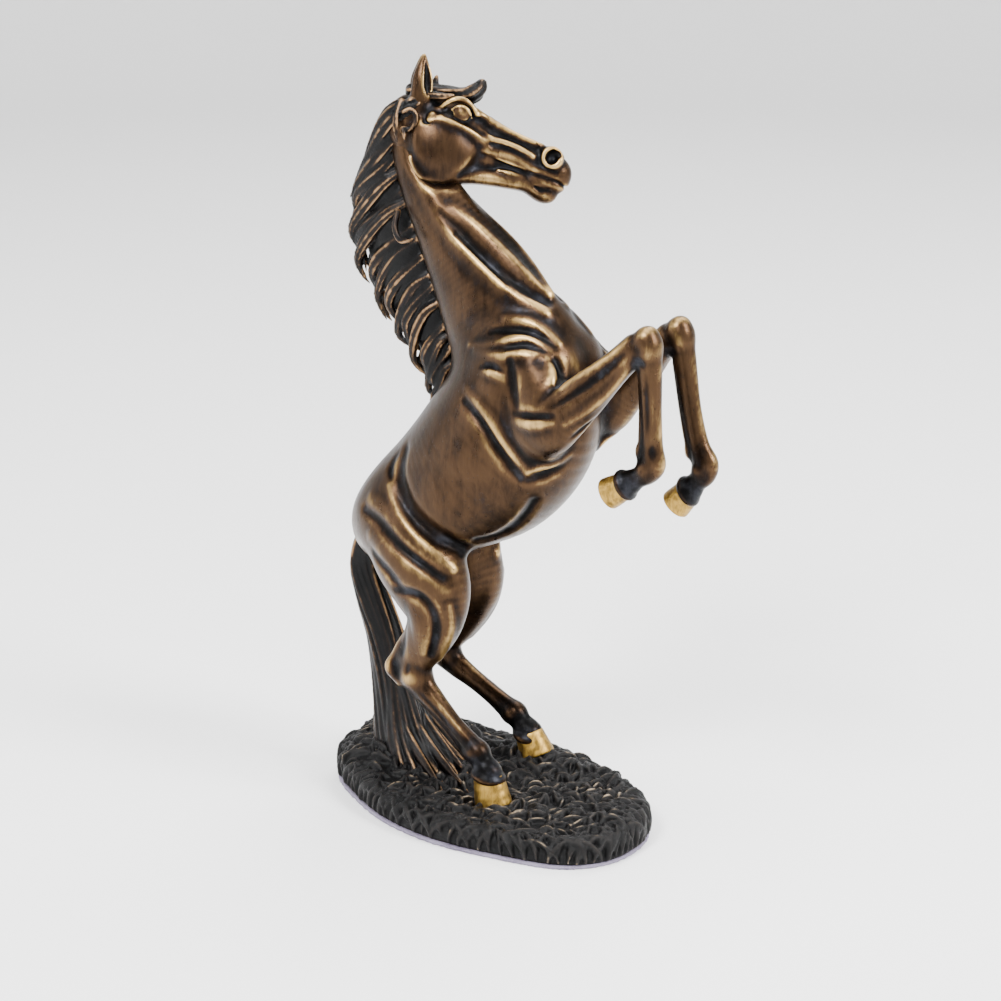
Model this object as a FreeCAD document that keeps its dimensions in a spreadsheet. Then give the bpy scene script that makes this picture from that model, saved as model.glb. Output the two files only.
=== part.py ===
import FreeCAD, Part
import os
from math import cos, sin

# A rearing horse figurine on a grassy oval base, in millimetres.
# The horse faces +X, its left side is +Y, up is +Z, and the origin is the centre of the base's underside.
# Cast sections (trunk, neck, head, legs, tail, hair) are pinned and bonded; the hind hooves and the tail
# are bolted down through the base, and a felt pad closes the bolt pockets.

os.makedirs("parts", exist_ok=True)
doc = FreeCAD.newDocument("RearingHorse")
sizes = doc.addObject("Spreadsheet::Sheet", "Sizes")
Vector = FreeCAD.Vector
SIDEWAYS = Vector(0, 1, 0)
cell_count = 0


def cell(alias, value):
    """Write one size into the sheet and give it its name."""
    global cell_count
    cell_count += 1
    sizes.set("A%d" % cell_count, alias)
    sizes.set("B%d" % cell_count, str(value))
    sizes.setAlias("B%d" % cell_count, alias)


def bind(part, field, expression):
    part.setExpression(field, expression)


# ---------------------------------------------------------------- sizes: base, pad and fasteners
FELT_THICK = 1.5
RIM_TOP = 11.0
STUD_DIAMETER = 3.0
STUD_LENGTH = 20.0
NUT_ACROSS_FLATS = 5.5
NUT_THICK = 2.4
WASHER_DIAMETER = 7.0
WASHER_THICK = 0.5
POCKET_DIAMETER = 9.0
CLEARANCE_DIAMETER = 3.4
DOWEL_DIAMETER = 3.0
DOWEL_LENGTH = 16.0
NECK_PIN_DIAMETER = 6.0
NECK_PIN_LENGTH = 26.0
HEAD_PIN_DIAMETER = 4.0
HEAD_PIN_LENGTH = 16.0

cell("felt_thick", FELT_THICK)
cell("stud_diameter", STUD_DIAMETER)
cell("stud_length", STUD_LENGTH)
cell("nut_across_flats", NUT_ACROSS_FLATS)
cell("nut_thick", NUT_THICK)
cell("washer_diameter", WASHER_DIAMETER)
cell("washer_thick", WASHER_THICK)
cell("pocket_diameter", POCKET_DIAMETER)
cell("clearance_diameter", CLEARANCE_DIAMETER)
cell("dowel_diameter", DOWEL_DIAMETER)
cell("dowel_length", DOWEL_LENGTH)
cell("neck_pin_diameter", NECK_PIN_DIAMETER)
cell("neck_pin_length", NECK_PIN_LENGTH)
cell("head_pin_diameter", HEAD_PIN_DIAMETER)
cell("head_pin_length", HEAD_PIN_LENGTH)

# Outline of the base's foot, seen from above: an irregular oval with a blunt left end.
FOOT_OUTLINE = [
    (-73, 4), (-66, -15), (-45, -31), (-22, -43), (4, -49), (30, -48), (56, -42),
    (69, -27), (70, -8), (63, 9), (50, 21), (28, 33), (4, 41), (-22, 45), (-50, 45), (-70, 33), (-77, 19)]

# ---------------------------------------------------------------- sizes: cast sections
# Each row is one cross-section: x, y, z of its centre, half its width across the horse, half its depth.
TRUNK = [
    (-57, 0, 97, 7, 8), (-51, 0, 103, 16, 16.5), (-41, 0, 111, 21, 22), (-25, 0, 123, 22.5, 24),
    (-5, 0, 138, 25.5, 28), (10, 0, 155, 24.5, 29), (16, 0, 171, 20.5, 26.5), (18, 0, 183, 15.5, 21.5),
    (19, 0, 191, 8, 12)]
NECK = [
    (13, 0, 172, 14, 26), (4, 0, 186, 14.5, 26.5), (-6, 0, 202, 12.5, 23), (-17, 0, 219, 10.5, 18.5),
    (-27.5, 0, 236, 9, 14.5), (-35, 0.5, 250, 8.2, 11.5), (-37, 1, 259, 6.5, 8.5)]
MANE = [
    (-38, 2, 267.5, 3.5, 5), (-45, 1, 258, 5, 9), (-50, 0, 240, 6.5, 13), (-48, 0, 222, 7, 16.5),
    (-41, 0, 205, 6.5, 15), (-33, 0, 190, 5.5, 12), (-25.5, 0, 174, 4.5, 8), (-24, 0, 160, 2, 3)]
TAIL = [
    (-53, 0, 102, 4, 4.5), (-59, 0, 90, 5.5, 6.5), (-57.5, 0, 74, 6.5, 7.5), (-52, -1, 58, 7, 8),
    (-47.5, -2, 42, 7.5, 8.5), (-44.5, -3, 30, 9.5, 10.5), (-42, -3, 20, 12, 13), (-41.5, -3, 16, 13, 14)]
TAIL_SWEEP = [
    (-44, -4, 21, 8, 9), (-33, -9, 17.5, 7, 7.5), (-22, -13, 14.5, 5, 5.5), (-12, -15, 12, 2.5, 3)]

RIGHT_UPPER_ARM = [
    (20, -12.5, 182, 5, 10), (28, -14.5, 176, 7.5, 14), (33, -16.5, 166, 8.5, 14.5), (35, -18, 156, 8, 12),
    (33, -18, 147, 4.5, 6)]
RIGHT_FOREARM = [
    (28, -17, 153, 5.5, 8), (38, -19, 158.5, 7.5, 10.5), (50, -18, 169, 6.4, 8.2), (62, -16, 181.5, 5.2, 6.2),
    (71, -15, 190, 4.8, 5.7), (75.5, -15, 194.5, 3.4, 4.2)]
RIGHT_FORE_CANNON = [
    (75, -15, 196.5, 3, 3.4), (75.2, -15, 190.5, 4.6, 5.2), (75.7, -15, 182, 3.7, 4.2), (76.5, -15, 168, 3.1, 3.5),
    (77, -15, 156, 3.2, 3.8), (77.5, -15, 149, 3.9, 4.8), (77, -15, 144.5, 2.6, 3.2)]
RIGHT_FORE_PASTERN = [
    (78.5, -15, 149, 3.2, 3.7), (72.5, -15, 144.2, 3.2, 3.6), (67.2, -15, 140.4, 4.4, 4.7), (65.8, -15, 139.6, 4.5, 4.8)]
RIGHT_FORE_HOOF = [(66.6, -15, 140, 4.6, 4.9), (63, -15, 137.8, 5, 5.5), (59.4, -15, 135.7, 5.3, 5.9)]

LEFT_UPPER_ARM = [
    (20, 12.5, 182, 5, 10), (28, 14.5, 176, 7.5, 14), (33, 16.5, 166, 8.5, 14.5), (35, 18, 156, 8, 12),
    (33, 18, 147, 4.5, 6)]
LEFT_FOREARM = [
    (28, 17, 153, 5.5, 8), (38, 19, 158.5, 7.5, 10.5), (48, 18, 169, 6.4, 8.2), (58, 16, 180, 5.2, 6.2),
    (66, 15, 187.5, 4.8, 5.7), (70.5, 15, 192, 3.4, 4.2)]
LEFT_FORE_CANNON = [
    (68.8, 15, 194, 3, 3.4), (70, 15, 188, 4.6, 5.2), (71.6, 15, 179, 3.7, 4.2), (75.2, 15, 163, 3.1, 3.5),
    (79, 15, 150, 3.2, 3.8), (81.5, 15, 143, 3.9, 4.8), (81.8, 15, 138.5, 2.6, 3.2)]
LEFT_FORE_PASTERN = [
    (82.5, 15, 143, 3.2, 3.7), (79, 15, 137, 3.2, 3.6), (75, 15, 132.4, 4.4, 4.7), (74, 15, 131.4, 4.5, 4.8)]
LEFT_FORE_HOOF = [(74.6, 15, 132, 4.6, 4.9), (71.8, 15, 129, 5, 5.5), (69.1, 15, 126.1, 5.3, 5.9)]

RIGHT_THIGH = [
    (-38, -12, 122, 6, 10), (-33, -15, 113, 10.5, 17), (-24, -18, 101, 12, 18.5), (-15, -20, 89, 10.8, 16.5),
    (-12.5, -21, 79, 9, 12), (-15.5, -21.5, 69, 7, 9.2), (-19, -21.5, 60, 5.2, 7.2), (-21.5, -21.5, 53, 4.4, 6.4),
    (-22, -21.5, 48.5, 3, 4.4)]
RIGHT_HIND_CANNON = [
    (-27, -21.5, 55.5, 3.4, 4.6), (-20.5, -21.5, 51, 4.7, 6), (-12, -21.7, 44.5, 3.8, 4.5), (-3, -22, 37.5, 3.5, 3.9),
    (4, -22, 32, 3.9, 4.6), (8, -22, 28, 4.2, 4.9), (10.6, -22, 24.6, 4, 4.5), (12.2, -22, 21.8, 4.8, 5)]
RIGHT_HIND_HOOF = [(11.9, -22, 22.4, 5.1, 5.4), (13.4, -22, 16.2, 5.8, 6.4), (14.9, -22, 9.6, 6.5, 7.4)]

LEFT_THIGH = [
    (-46, 12, 116, 6, 10), (-42, 15, 107, 10.5, 17), (-37, 18, 95, 12, 17.5), (-31, 20, 82, 10.8, 15.5),
    (-30, 21, 72, 9, 11.5), (-33, 21.5, 62, 6.6, 8.8), (-37, 21.5, 54, 5, 7), (-39.5, 21.5, 48, 4.4, 6.4),
    (-40, 21.5, 43.5, 3, 4.4)]
LEFT_HIND_CANNON = [
    (-45, 21.5, 50, 3.4, 4.6), (-38.5, 21.5, 46.5, 4.7, 6), (-30, 21.7, 41.5, 3.8, 4.5), (-19, 22, 36.5, 3.5, 3.9),
    (-10.5, 22, 32, 3.9, 4.6), (-5.5, 22, 28.5, 4.2, 4.9), (-1.5, 22, 25, 4, 4.5), (1, 22, 21.6, 4.8, 5)]
LEFT_HIND_HOOF = [(0.6, 22, 22.2, 5.1, 5.4), (2.4, 22, 18, 5.8, 6.4), (4.6, 22, 13.4, 6.5, 7.4)]

# The head is laid out on its own axes: x from the poll to the lips, y to the left, z up from the jaw,
# then turned to its left, tipped nose-down and leaned over.
HEAD_PLACE = (-38, 1.5, 262)
HEAD_TURN, HEAD_TIP, HEAD_LEAN = 25.0, 23.8, -14.0
SKULL = [
    (-4, 0, -3, 4, 6), (0, 0, -3, 6.5, 10), (9, 0, -4.5, 8.6, 14), (18, 0, -3.5, 9.2, 15), (26, 0, -0.5, 7.6, 11.5),
    (36, 0, 0.8, 5.8, 8.4), (46, 0, 1, 5.4, 8.4), (54, 0, 0.6, 5.6, 8.8), (59.5, 0, -0.4, 5, 7), (62.4, 0, -0.6, 3, 4)]
EAR = [
    (1.2, 0, 5, 2.4, 3.4), (-0.5, 0.4, 10, 2.4, 3.6), (-1.8, 0.5, 14.5, 1.9, 2.9), (-3.2, 0.5, 18.5, 1, 1.4),
    (-4, 0.5, 20.7, 0.25, 0.3)]
EAR_SPREAD = 5.6
FORELOCK = [
    (4, 0, 8.4, 2.8, 3.2), (8, 0.5, 11.2, 3.2, 3.4), (12, 1.5, 13.4, 2.8, 3), (16.5, 3, 16.5, 2.2, 2.8),
    (18.3, 4, 19.5, 0.8, 1.1)]


# ---------------------------------------------------------------- drawing helpers
def path_frame(centres, index):
    """Rotation that stands a section across the path: depth first, sideways second, along the path third."""
    before = centres[max(index - 1, 0)]
    after = centres[min(index + 1, len(centres) - 1)]
    along = (after - before).normalize()
    side = (SIDEWAYS - along * along.dot(SIDEWAYS)).normalize()
    return FreeCAD.Rotation(side.cross(along), side, along, "ZYX")


def oval_loft(name, rows):
    """A solid drawn through ovals, one per row of a table, each bound to its cells in the sheet."""
    centres = [Vector(*row[:3]) for row in rows]
    ovals = []
    for index, row in enumerate(rows):
        stem = "%s_%s" % (name, "abcdefghij"[index])
        for suffix, value in zip(("x", "y", "z", "wide", "deep"), row):
            cell("%s_%s" % (stem, suffix), value)
        oval = doc.addObject("Part::Ellipse", stem)
        oval.Placement = FreeCAD.Placement(centres[index], path_frame(centres, index))
        bind(oval, "MajorRadius", "Sizes.%s_deep" % stem)
        bind(oval, "MinorRadius", "Sizes.%s_wide" % stem)
        for axis in "xyz":
            bind(oval, "Placement.Base.%s" % axis, "Sizes.%s_%s" % (stem, axis))
        ovals.append(oval)
    loft = doc.addObject("Part::Loft", name)
    loft.Sections = ovals
    loft.Solid = True
    loft.Ruled = False
    return loft


def bulge(name, centre, across, length, height, direction=(1, 0, 0), lowest=-90):
    """An ellipsoid: length along a direction, width across the horse, and height; lowest 0 keeps its upper half."""
    for suffix, value in zip(("x", "y", "z", "across", "length", "height"), (*centre, across, length, height)):
        cell("%s_%s" % (name, suffix), value)
    along = Vector(*direction).normalize()
    side = (SIDEWAYS - along * along.dot(SIDEWAYS)).normalize()
    form = doc.addObject("Part::Ellipsoid", name)
    form.Placement = FreeCAD.Placement(Vector(*centre), FreeCAD.Rotation(along, side, along.cross(side), "XYZ"))
    bind(form, "Radius1", "Sizes.%s_height" % name)
    bind(form, "Radius2", "Sizes.%s_length" % name)
    bind(form, "Radius3", "Sizes.%s_across" % name)
    form.Angle1, form.Angle2, form.Angle3 = lowest, 90, 360
    for axis in "xyz":
        bind(form, "Placement.Base.%s" % axis, "Sizes.%s_%s" % (name, axis))
    return form


def rod(name, start, direction, diameter_cell, length_cell):
    """A round rod from a start point along a direction."""
    pin = doc.addObject("Part::Cylinder", name)
    pin.Placement = FreeCAD.Placement(Vector(*start), FreeCAD.Rotation(Vector(0, 0, 1), Vector(*direction)))
    bind(pin, "Radius", "Sizes.%s / 2" % diameter_cell)
    bind(pin, "Height", "Sizes.%s" % length_cell)
    return pin


def fuse(name, shapes):
    joined = doc.addObject("Part::MultiFuse", name)
    joined.Shapes = shapes
    joined.Refine = False
    return joined


def join(name, first, second):
    joined = doc.addObject("Part::Fuse", name)
    joined.Base = first
    joined.Tool = second
    joined.Refine = False
    return joined


def cut_in_turn(name, body, tools):
    """Cut forms away one after another; the last cut carries the name."""
    for number, tool in enumerate(tools):
        last = number == len(tools) - 1
        body = cut(name if last else "%s_cut_%d" % (name, number), body, tool)
    return body


def cut(name, body, tool):
    remains = doc.addObject("Part::Cut", name)
    remains.Base = body
    remains.Tool = tool
    remains.Refine = False
    return remains


def outline_sketch(body, name, scale):
    """The foot outline as one smooth closed curve on the body's own ground plane."""
    sketch = body.newObject("Sketcher::SketchObject", name)
    ground = [plane for plane in body.Origin.OriginFeatures if plane.Role == "XY_Plane"][0]
    sketch.AttachmentSupport = [(ground, "")]
    sketch.MapMode = "FlatFace"
    curve = Part.BSplineCurve()
    curve.interpolate(Points=[Vector(x * scale, y * scale, 0) for x, y in FOOT_OUTLINE], PeriodicFlag=True)
    sketch.addGeometry(curve, False)
    return sketch


def slab(name, scale, length_cell):
    """A PartDesign body padded up from the foot outline."""
    body = doc.addObject("PartDesign::Body", name)
    sketch = outline_sketch(body, name + "_outline", scale)
    pad = body.newObject("PartDesign::Pad", name + "_pad")
    pad.Profile = sketch
    bind(pad, "Length", "Sizes.%s" % length_cell)
    return body


nodes = {}

# ---------------------------------------------------------------- trunk
PECTORAL_ACROSS, PECTORAL_LENGTH, PECTORAL_HEIGHT = 7.5, 10.0, 13.0
trunk_parts = [oval_loft("trunk_core", TRUNK)]
pectorals = {}
for side_name, side in (("right", -1), ("left", 1)):
    pectorals[side_name] = bulge(
        side_name + "_pectoral", (30, side * 7, 175), PECTORAL_ACROSS, PECTORAL_LENGTH, PECTORAL_HEIGHT, (1, 0, -0.3))
    trunk_parts.append(pectorals[side_name])
    trunk_parts.append(bulge(side_name + "_rump", (-45, side * 8, 110), 12, 16, 12, (0.6, 0, 0.8)))
    trunk_parts.append(bulge(side_name + "_flank", (-12, side * 12, 122), 11, 17, 13, (0.7, 0, 0.7)))
trunk_solid = fuse("trunk_solid", trunk_parts)

# ---------------------------------------------------------------- head, with its ears, eyes, nostrils and mouth
skull = [oval_loft("skull", SKULL)]
hollows = []
for side_name, side in (("right", -1), ("left", 1)):
    skull.append(bulge(side_name + "_cheek", (17.5, side * 5.2, -8.5), 5, 12, 11.5))
    skull.append(bulge(side_name + "_brow", (15.5, side * 7, 8.6), 2, 5, 2.4))
    skull.append(bulge(side_name + "_eye", (17.8, side * 7.6, 6.8), 1.7, 2.8, 2))
    skull.append(bulge(side_name + "_nostril_rim", (54.2, side * 4.2, 5.4), 2.4, 4.4, 4.4))
    ear_rows = [(x, side * (EAR_SPREAD + y), z, wide, deep) for x, y, z, wide, deep in EAR]
    skull.append(oval_loft(side_name + "_ear", ear_rows))
    hollows.append(bulge(side_name + "_ear_hollow", (1.2, side * 7.4, 12.5), 1.4, 1.5, 5.5, (1, 0, -0.25)))
    hollows.append(bulge(side_name + "_nostril", (54.6, side * 6.6, 5.8), 2.4, 2.6, 3))
skull.append(bulge("chin", (56.5, 0, -4.6), 4.2, 5.6, 4.6))
mouth = doc.addObject("Part::Box", "mouth_line")
cell("mouth_long", 15)
cell("mouth_wide", 14)
cell("mouth_gap", 0.8)
bind(mouth, "Length", "Sizes.mouth_long")
bind(mouth, "Width", "Sizes.mouth_wide")
bind(mouth, "Height", "Sizes.mouth_gap")
mouth.Placement.Base = Vector(51, -7, -1.6)
hollows.append(mouth)
mouth_web = bulge("mouth_web", (52, 0, -1), 4.2, 9, 3)
head_bored = cut("head_bored", fuse("head_forms", skull), fuse("head_hollows", hollows))
head_solid = fuse("head_solid", [head_bored, mouth_web])
head_solid.Placement = FreeCAD.Placement(
    Vector(*HEAD_PLACE), FreeCAD.Rotation(HEAD_TURN, HEAD_TIP, HEAD_LEAN))
forelock_solid = fuse("forelock_solid", [oval_loft("forelock_lock", FORELOCK), bulge("forelock_tuft", (7, 0, 10.5), 2.6, 3.2, 3)])
forelock_solid.Placement = head_solid.Placement

# ---------------------------------------------------------------- neck, mane and tail
neck_loft = oval_loft("neck_core", NECK)
mane_loft = oval_loft("mane_core", MANE)
tail_solid = fuse("tail_solid", [oval_loft("tail_core", TAIL), oval_loft("tail_sweep", TAIL_SWEEP)])

# ---------------------------------------------------------------- legs and hooves
foreleg_forms = {
    "right": [
        oval_loft("right_upper_arm", RIGHT_UPPER_ARM), oval_loft("right_forearm", RIGHT_FOREARM),
        oval_loft("right_fore_cannon", RIGHT_FORE_CANNON), oval_loft("right_fore_pastern", RIGHT_FORE_PASTERN)],
    "left": [
        oval_loft("left_upper_arm", LEFT_UPPER_ARM), oval_loft("left_forearm", LEFT_FOREARM),
        oval_loft("left_fore_cannon", LEFT_FORE_CANNON), oval_loft("left_fore_pastern", LEFT_FORE_PASTERN)]}
hind_leg_solids = {
    "right": fuse("right_hind_leg_solid", [
        oval_loft("right_thigh", RIGHT_THIGH), oval_loft("right_hind_cannon", RIGHT_HIND_CANNON),
        bulge("right_hock", (-29.5, -21.5, 55.5), 2.8, 5, 3.2, (-0.8, 0, 0.5)),
        bulge("right_tendon", (-27.5, -21.5, 66), 2, 13, 3, (-0.3, 0, -1))]),
    "left": fuse("left_hind_leg_solid", [
        oval_loft("left_thigh", LEFT_THIGH), oval_loft("left_hind_cannon", LEFT_HIND_CANNON),
        bulge("left_hock", (-47.5, 21.5, 50), 2.8, 5, 3.2, (-0.8, 0, 0.5)),
        bulge("left_tendon", (-45.2, 21.3, 60.5), 2.1, 12.5, 3.1, (-0.3, 0, -1))])}
hooves = {
    "right_fore_hoof": oval_loft("right_fore_hoof_wall", RIGHT_FORE_HOOF),
    "left_fore_hoof": oval_loft("left_fore_hoof_wall", LEFT_FORE_HOOF),
    "right_hind_hoof": oval_loft("right_hind_hoof_wall", RIGHT_HIND_HOOF),
    "left_hind_hoof": oval_loft("left_hind_hoof_wall", LEFT_HIND_HOOF)}

# ---------------------------------------------------------------- studs, washers and nuts under the base
SHALLOW_POCKET_TOP, DEEP_POCKET_TOP = 7.5, 11.0
STUD_TAIL = 5.0
BOLT_PLACES = (
    ("right_hoof", 13.4, -22, SHALLOW_POCKET_TOP), ("left_hoof", 3.0, 22, SHALLOW_POCKET_TOP),
    ("tail", -44, -3, DEEP_POCKET_TOP))
studs, washers, nuts, pockets = [], [], [], []
cell("washer_bore", 3.2)
for place, x, y, pocket_top in BOLT_PLACES:
    studs.append(rod(place + "_stud", (x, y, pocket_top - STUD_TAIL), (0, 0, 1), "stud_diameter", "stud_length"))
    washer_disc = rod(
        place + "_washer_disc", (x, y, pocket_top - WASHER_THICK), (0, 0, 1), "washer_diameter", "washer_thick")
    washer_bore = rod(
        place + "_washer_bore", (x, y, pocket_top - WASHER_THICK), (0, 0, 1), "washer_bore", "washer_thick")
    washers.append(cut(place + "_washer", washer_disc, washer_bore))
    nut_bottom = pocket_top - WASHER_THICK - NUT_THICK
    prism = doc.addObject("Part::Prism", place + "_nut_blank")
    prism.Polygon = 6
    bind(prism, "Circumradius", "Sizes.nut_across_flats / 2 / cos(30)")
    bind(prism, "Height", "Sizes.nut_thick")
    prism.Placement.Base = Vector(x, y, nut_bottom)
    thread_bore = rod(place + "_nut_bore", (x, y, nut_bottom), (0, 0, 1), "stud_diameter", "nut_thick")
    nuts.append(cut(place + "_nut", prism, thread_bore))
    cell(place + "_pocket_deep", pocket_top - FELT_THICK)
    pockets.append(rod(place + "_pocket", (x, y, FELT_THICK), (0, 0, 1), "pocket_diameter", place + "_pocket_deep"))
    pockets.append(rod(place + "_clearance", (x, y, FELT_THICK), (0, 0, 1), "clearance_diameter", "stud_length"))
for name, pieces in (("studs", studs), ("washers", washers), ("nuts", nuts)):
    group = doc.addObject("Part::Compound", name)
    group.Links = pieces
    nodes[name] = group

# ---------------------------------------------------------------- pins between the cast sections
dowel_starts = (
    ("right_foreleg", (34, -7, 166), (0, -1, 0)), ("left_foreleg", (34, 7, 166), (0, 1, 0)),
    ("right_hind_leg", (-32, -6, 108), (0, -1, 0)), ("left_hind_leg", (-40, 6, 103), (0, 1, 0)))
dowels = [rod(place + "_dowel", start, way, "dowel_diameter", "dowel_length") for place, start, way in dowel_starts]
leg_dowels = doc.addObject("Part::Compound", "leg_dowels")
leg_dowels.Links = dowels
nodes["leg_dowels"] = leg_dowels
neck_pin = rod("neck_pin", (10.5, 0, 172.5), (-0.5, 0, 0.87), "neck_pin_diameter", "neck_pin_length")
head_pin = rod("head_pin", (-33, 0.5, 246), (-0.25, 0.05, 0.97), "head_pin_diameter", "head_pin_length")
nodes["neck_pin"] = neck_pin
nodes["head_pin"] = head_pin

# ---------------------------------------------------------------- sections fitted to one another
nodes["torso"] = cut("torso", trunk_solid, fuse("trunk_borings", [leg_dowels, neck_pin]))
nodes["head"] = cut("head", head_solid, head_pin)
nodes["neck"] = cut("neck", neck_loft, fuse("neck_borings", [trunk_solid, head_solid, neck_pin, head_pin]))
nodes["mane"] = cut("mane", mane_loft, fuse("mane_seat", [trunk_solid, head_solid, neck_loft]))
nodes["forelock"] = cut("forelock", forelock_solid, fuse("forelock_seat", [head_solid, mane_loft, neck_loft]))
nodes["tail"] = cut("tail", tail_solid, fuse("tail_seat", [trunk_solid, studs[2]]))
for side_name in ("right", "left"):
    fore_hoof = hooves[side_name + "_fore_hoof"]
    hind_hoof = hooves[side_name + "_hind_hoof"]
    foreleg_name = side_name + "_foreleg"
    hind_leg_name = side_name + "_hind_leg"
    stud = studs[0] if side_name == "right" else studs[1]
    upper_arm, forearm, cannon, pastern = foreleg_forms[side_name]
    arm = cut_in_turn(
        side_name + "_arm", join(side_name + "_arm_forms", upper_arm, forearm),
        [trunk_parts[0], pectorals[side_name], neck_loft])
    shin = cut(side_name + "_shin", join(side_name + "_shin_forms", cannon, pastern), fore_hoof)
    nodes[foreleg_name] = cut(foreleg_name, join(foreleg_name + "_forms", arm, shin), leg_dowels)
    nodes[hind_leg_name] = cut_in_turn(
        hind_leg_name, hind_leg_solids[side_name], [trunk_solid, hind_hoof, stud, leg_dowels])
    nodes[side_name + "_fore_hoof"] = fore_hoof
    nodes[side_name + "_hind_hoof"] = cut(side_name + "_hind_hoof", hind_hoof, stud)

# ---------------------------------------------------------------- base and felt pad
cell("rim_height", RIM_TOP - FELT_THICK)
rim = slab("base_rim", 1.0, "rim_height")
rim.Placement.Base = Vector(0, 0, FELT_THICK)
MOUND_FOOT = 4.0
mounds = [
    rim, bulge("tail_mound", (-44, 0, MOUND_FOOT), 26, 24, 16, lowest=0),
    bulge("far_mound", (2, 24, MOUND_FOOT), 13, 22, 11, lowest=0)]
TUSSOCK_RINGS = ((0.85, 2.5, 10.0, 6.0, 3.2), (0.55, 0.5, 12.0, 7.0, 2.6))
TUSSOCK_TURN = 1.7
for ring, (reach, lift, length, across, tall) in enumerate(TUSSOCK_RINGS):
    for index, (x, y) in enumerate(FOOT_OUTLINE):
        turn = TUSSOCK_TURN * index + ring
        lean = (cos(turn), 0.6 * sin(turn), 0.25)
        mounds.append(bulge(
            "tussock_%s_%d" % ("ab"[ring], index), (x * reach, y * reach, RIM_TOP - 1 + lift * (index % 3) / 2),
            across, length, tall, lean))
base_solid = fuse("base_solid", mounds)
base_tools = fuse("base_tools", pockets + [tail_solid, hooves["right_hind_hoof"], hooves["left_hind_hoof"]])
nodes["base"] = cut("base", base_solid, base_tools)
nodes["felt_pad"] = slab("felt_pad", 0.97, "felt_thick")

# ---------------------------------------------------------------- check and write
doc.recompute()
for item in doc.Objects:
    if "Invalid" in item.State or "Error" in item.State:
        raise RuntimeError("%s did not build" % item.Name)
for name, node in nodes.items():
    if node.Shape.isNull() or not node.Shape.isValid() or node.Shape.Volume <= 0:
        raise RuntimeError("%s has no valid solid" % name)
    node.Label = name
    node.Shape.exportStep("parts/%s.step" % name)
    print(name, len(node.Shape.Solids), round(node.Shape.Volume, 1))
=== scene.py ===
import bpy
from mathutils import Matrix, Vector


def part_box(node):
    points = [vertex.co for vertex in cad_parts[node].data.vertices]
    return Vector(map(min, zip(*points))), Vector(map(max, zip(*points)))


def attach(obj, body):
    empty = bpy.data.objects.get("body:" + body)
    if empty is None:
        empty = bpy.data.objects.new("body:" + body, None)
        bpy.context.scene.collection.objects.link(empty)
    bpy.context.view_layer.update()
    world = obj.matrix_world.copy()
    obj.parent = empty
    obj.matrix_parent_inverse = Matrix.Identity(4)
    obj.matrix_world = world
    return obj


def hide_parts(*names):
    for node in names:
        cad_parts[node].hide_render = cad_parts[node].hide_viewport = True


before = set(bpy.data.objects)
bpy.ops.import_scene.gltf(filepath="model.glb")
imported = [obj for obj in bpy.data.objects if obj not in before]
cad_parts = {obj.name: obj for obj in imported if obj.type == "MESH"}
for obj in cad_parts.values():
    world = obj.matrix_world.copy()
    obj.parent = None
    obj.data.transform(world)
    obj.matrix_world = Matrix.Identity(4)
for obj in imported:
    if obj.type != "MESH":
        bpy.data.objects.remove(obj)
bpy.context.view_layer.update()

import math
import bpy
import numpy as np
import openvdb
from mathutils import Vector

# A rearing horse figurine. Everything is modelled as clay on a grid, in millimetres in the row frame,
# then meshed, cut into the figurine's sections and scaled to metres.
MM = 0.001
FAR = 12.0
RNG = np.random.default_rng(11)
STEPS = {"body": (0.8, 0.55), "head": (0.6, 0.36), "hair": (0.7, 0.5), "base": (0.8, 0.55),
         "hoof": (0.35, 0.35),
         "felt": (0.5, 0.5)}
# how much of its neighbourhood's height is taken off a point's own
EVEN_OUT = 0.9


def grid_step(name):
    return STEPS[name][1]


# ---------------------------------------------------------------- clay
def unit(v):
    v = np.asarray(v, float)
    return v / np.linalg.norm(v)


def spline(points, per_span=5):
    """A smooth row-by-row path through the points; rows may carry radii as extra columns."""
    p = np.asarray(points, float)
    p = np.vstack([2 * p[0] - p[1], p, 2 * p[-1] - p[-2]])
    t = np.linspace(0, 1, per_span, endpoint=False)[:, None]
    out = []
    for i in range(1, len(p) - 2):
        a, b, c, d = p[i - 1], p[i], p[i + 1], p[i + 2]
        bend = (2 * a - 5 * b + 4 * c - d) * t**2 + (3 * b - a - 3 * c + d) * t**3
        out.append(0.5 * (2 * b + (c - a) * t + bend))
    out.append(p[-2][None])
    return np.vstack(out)


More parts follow.
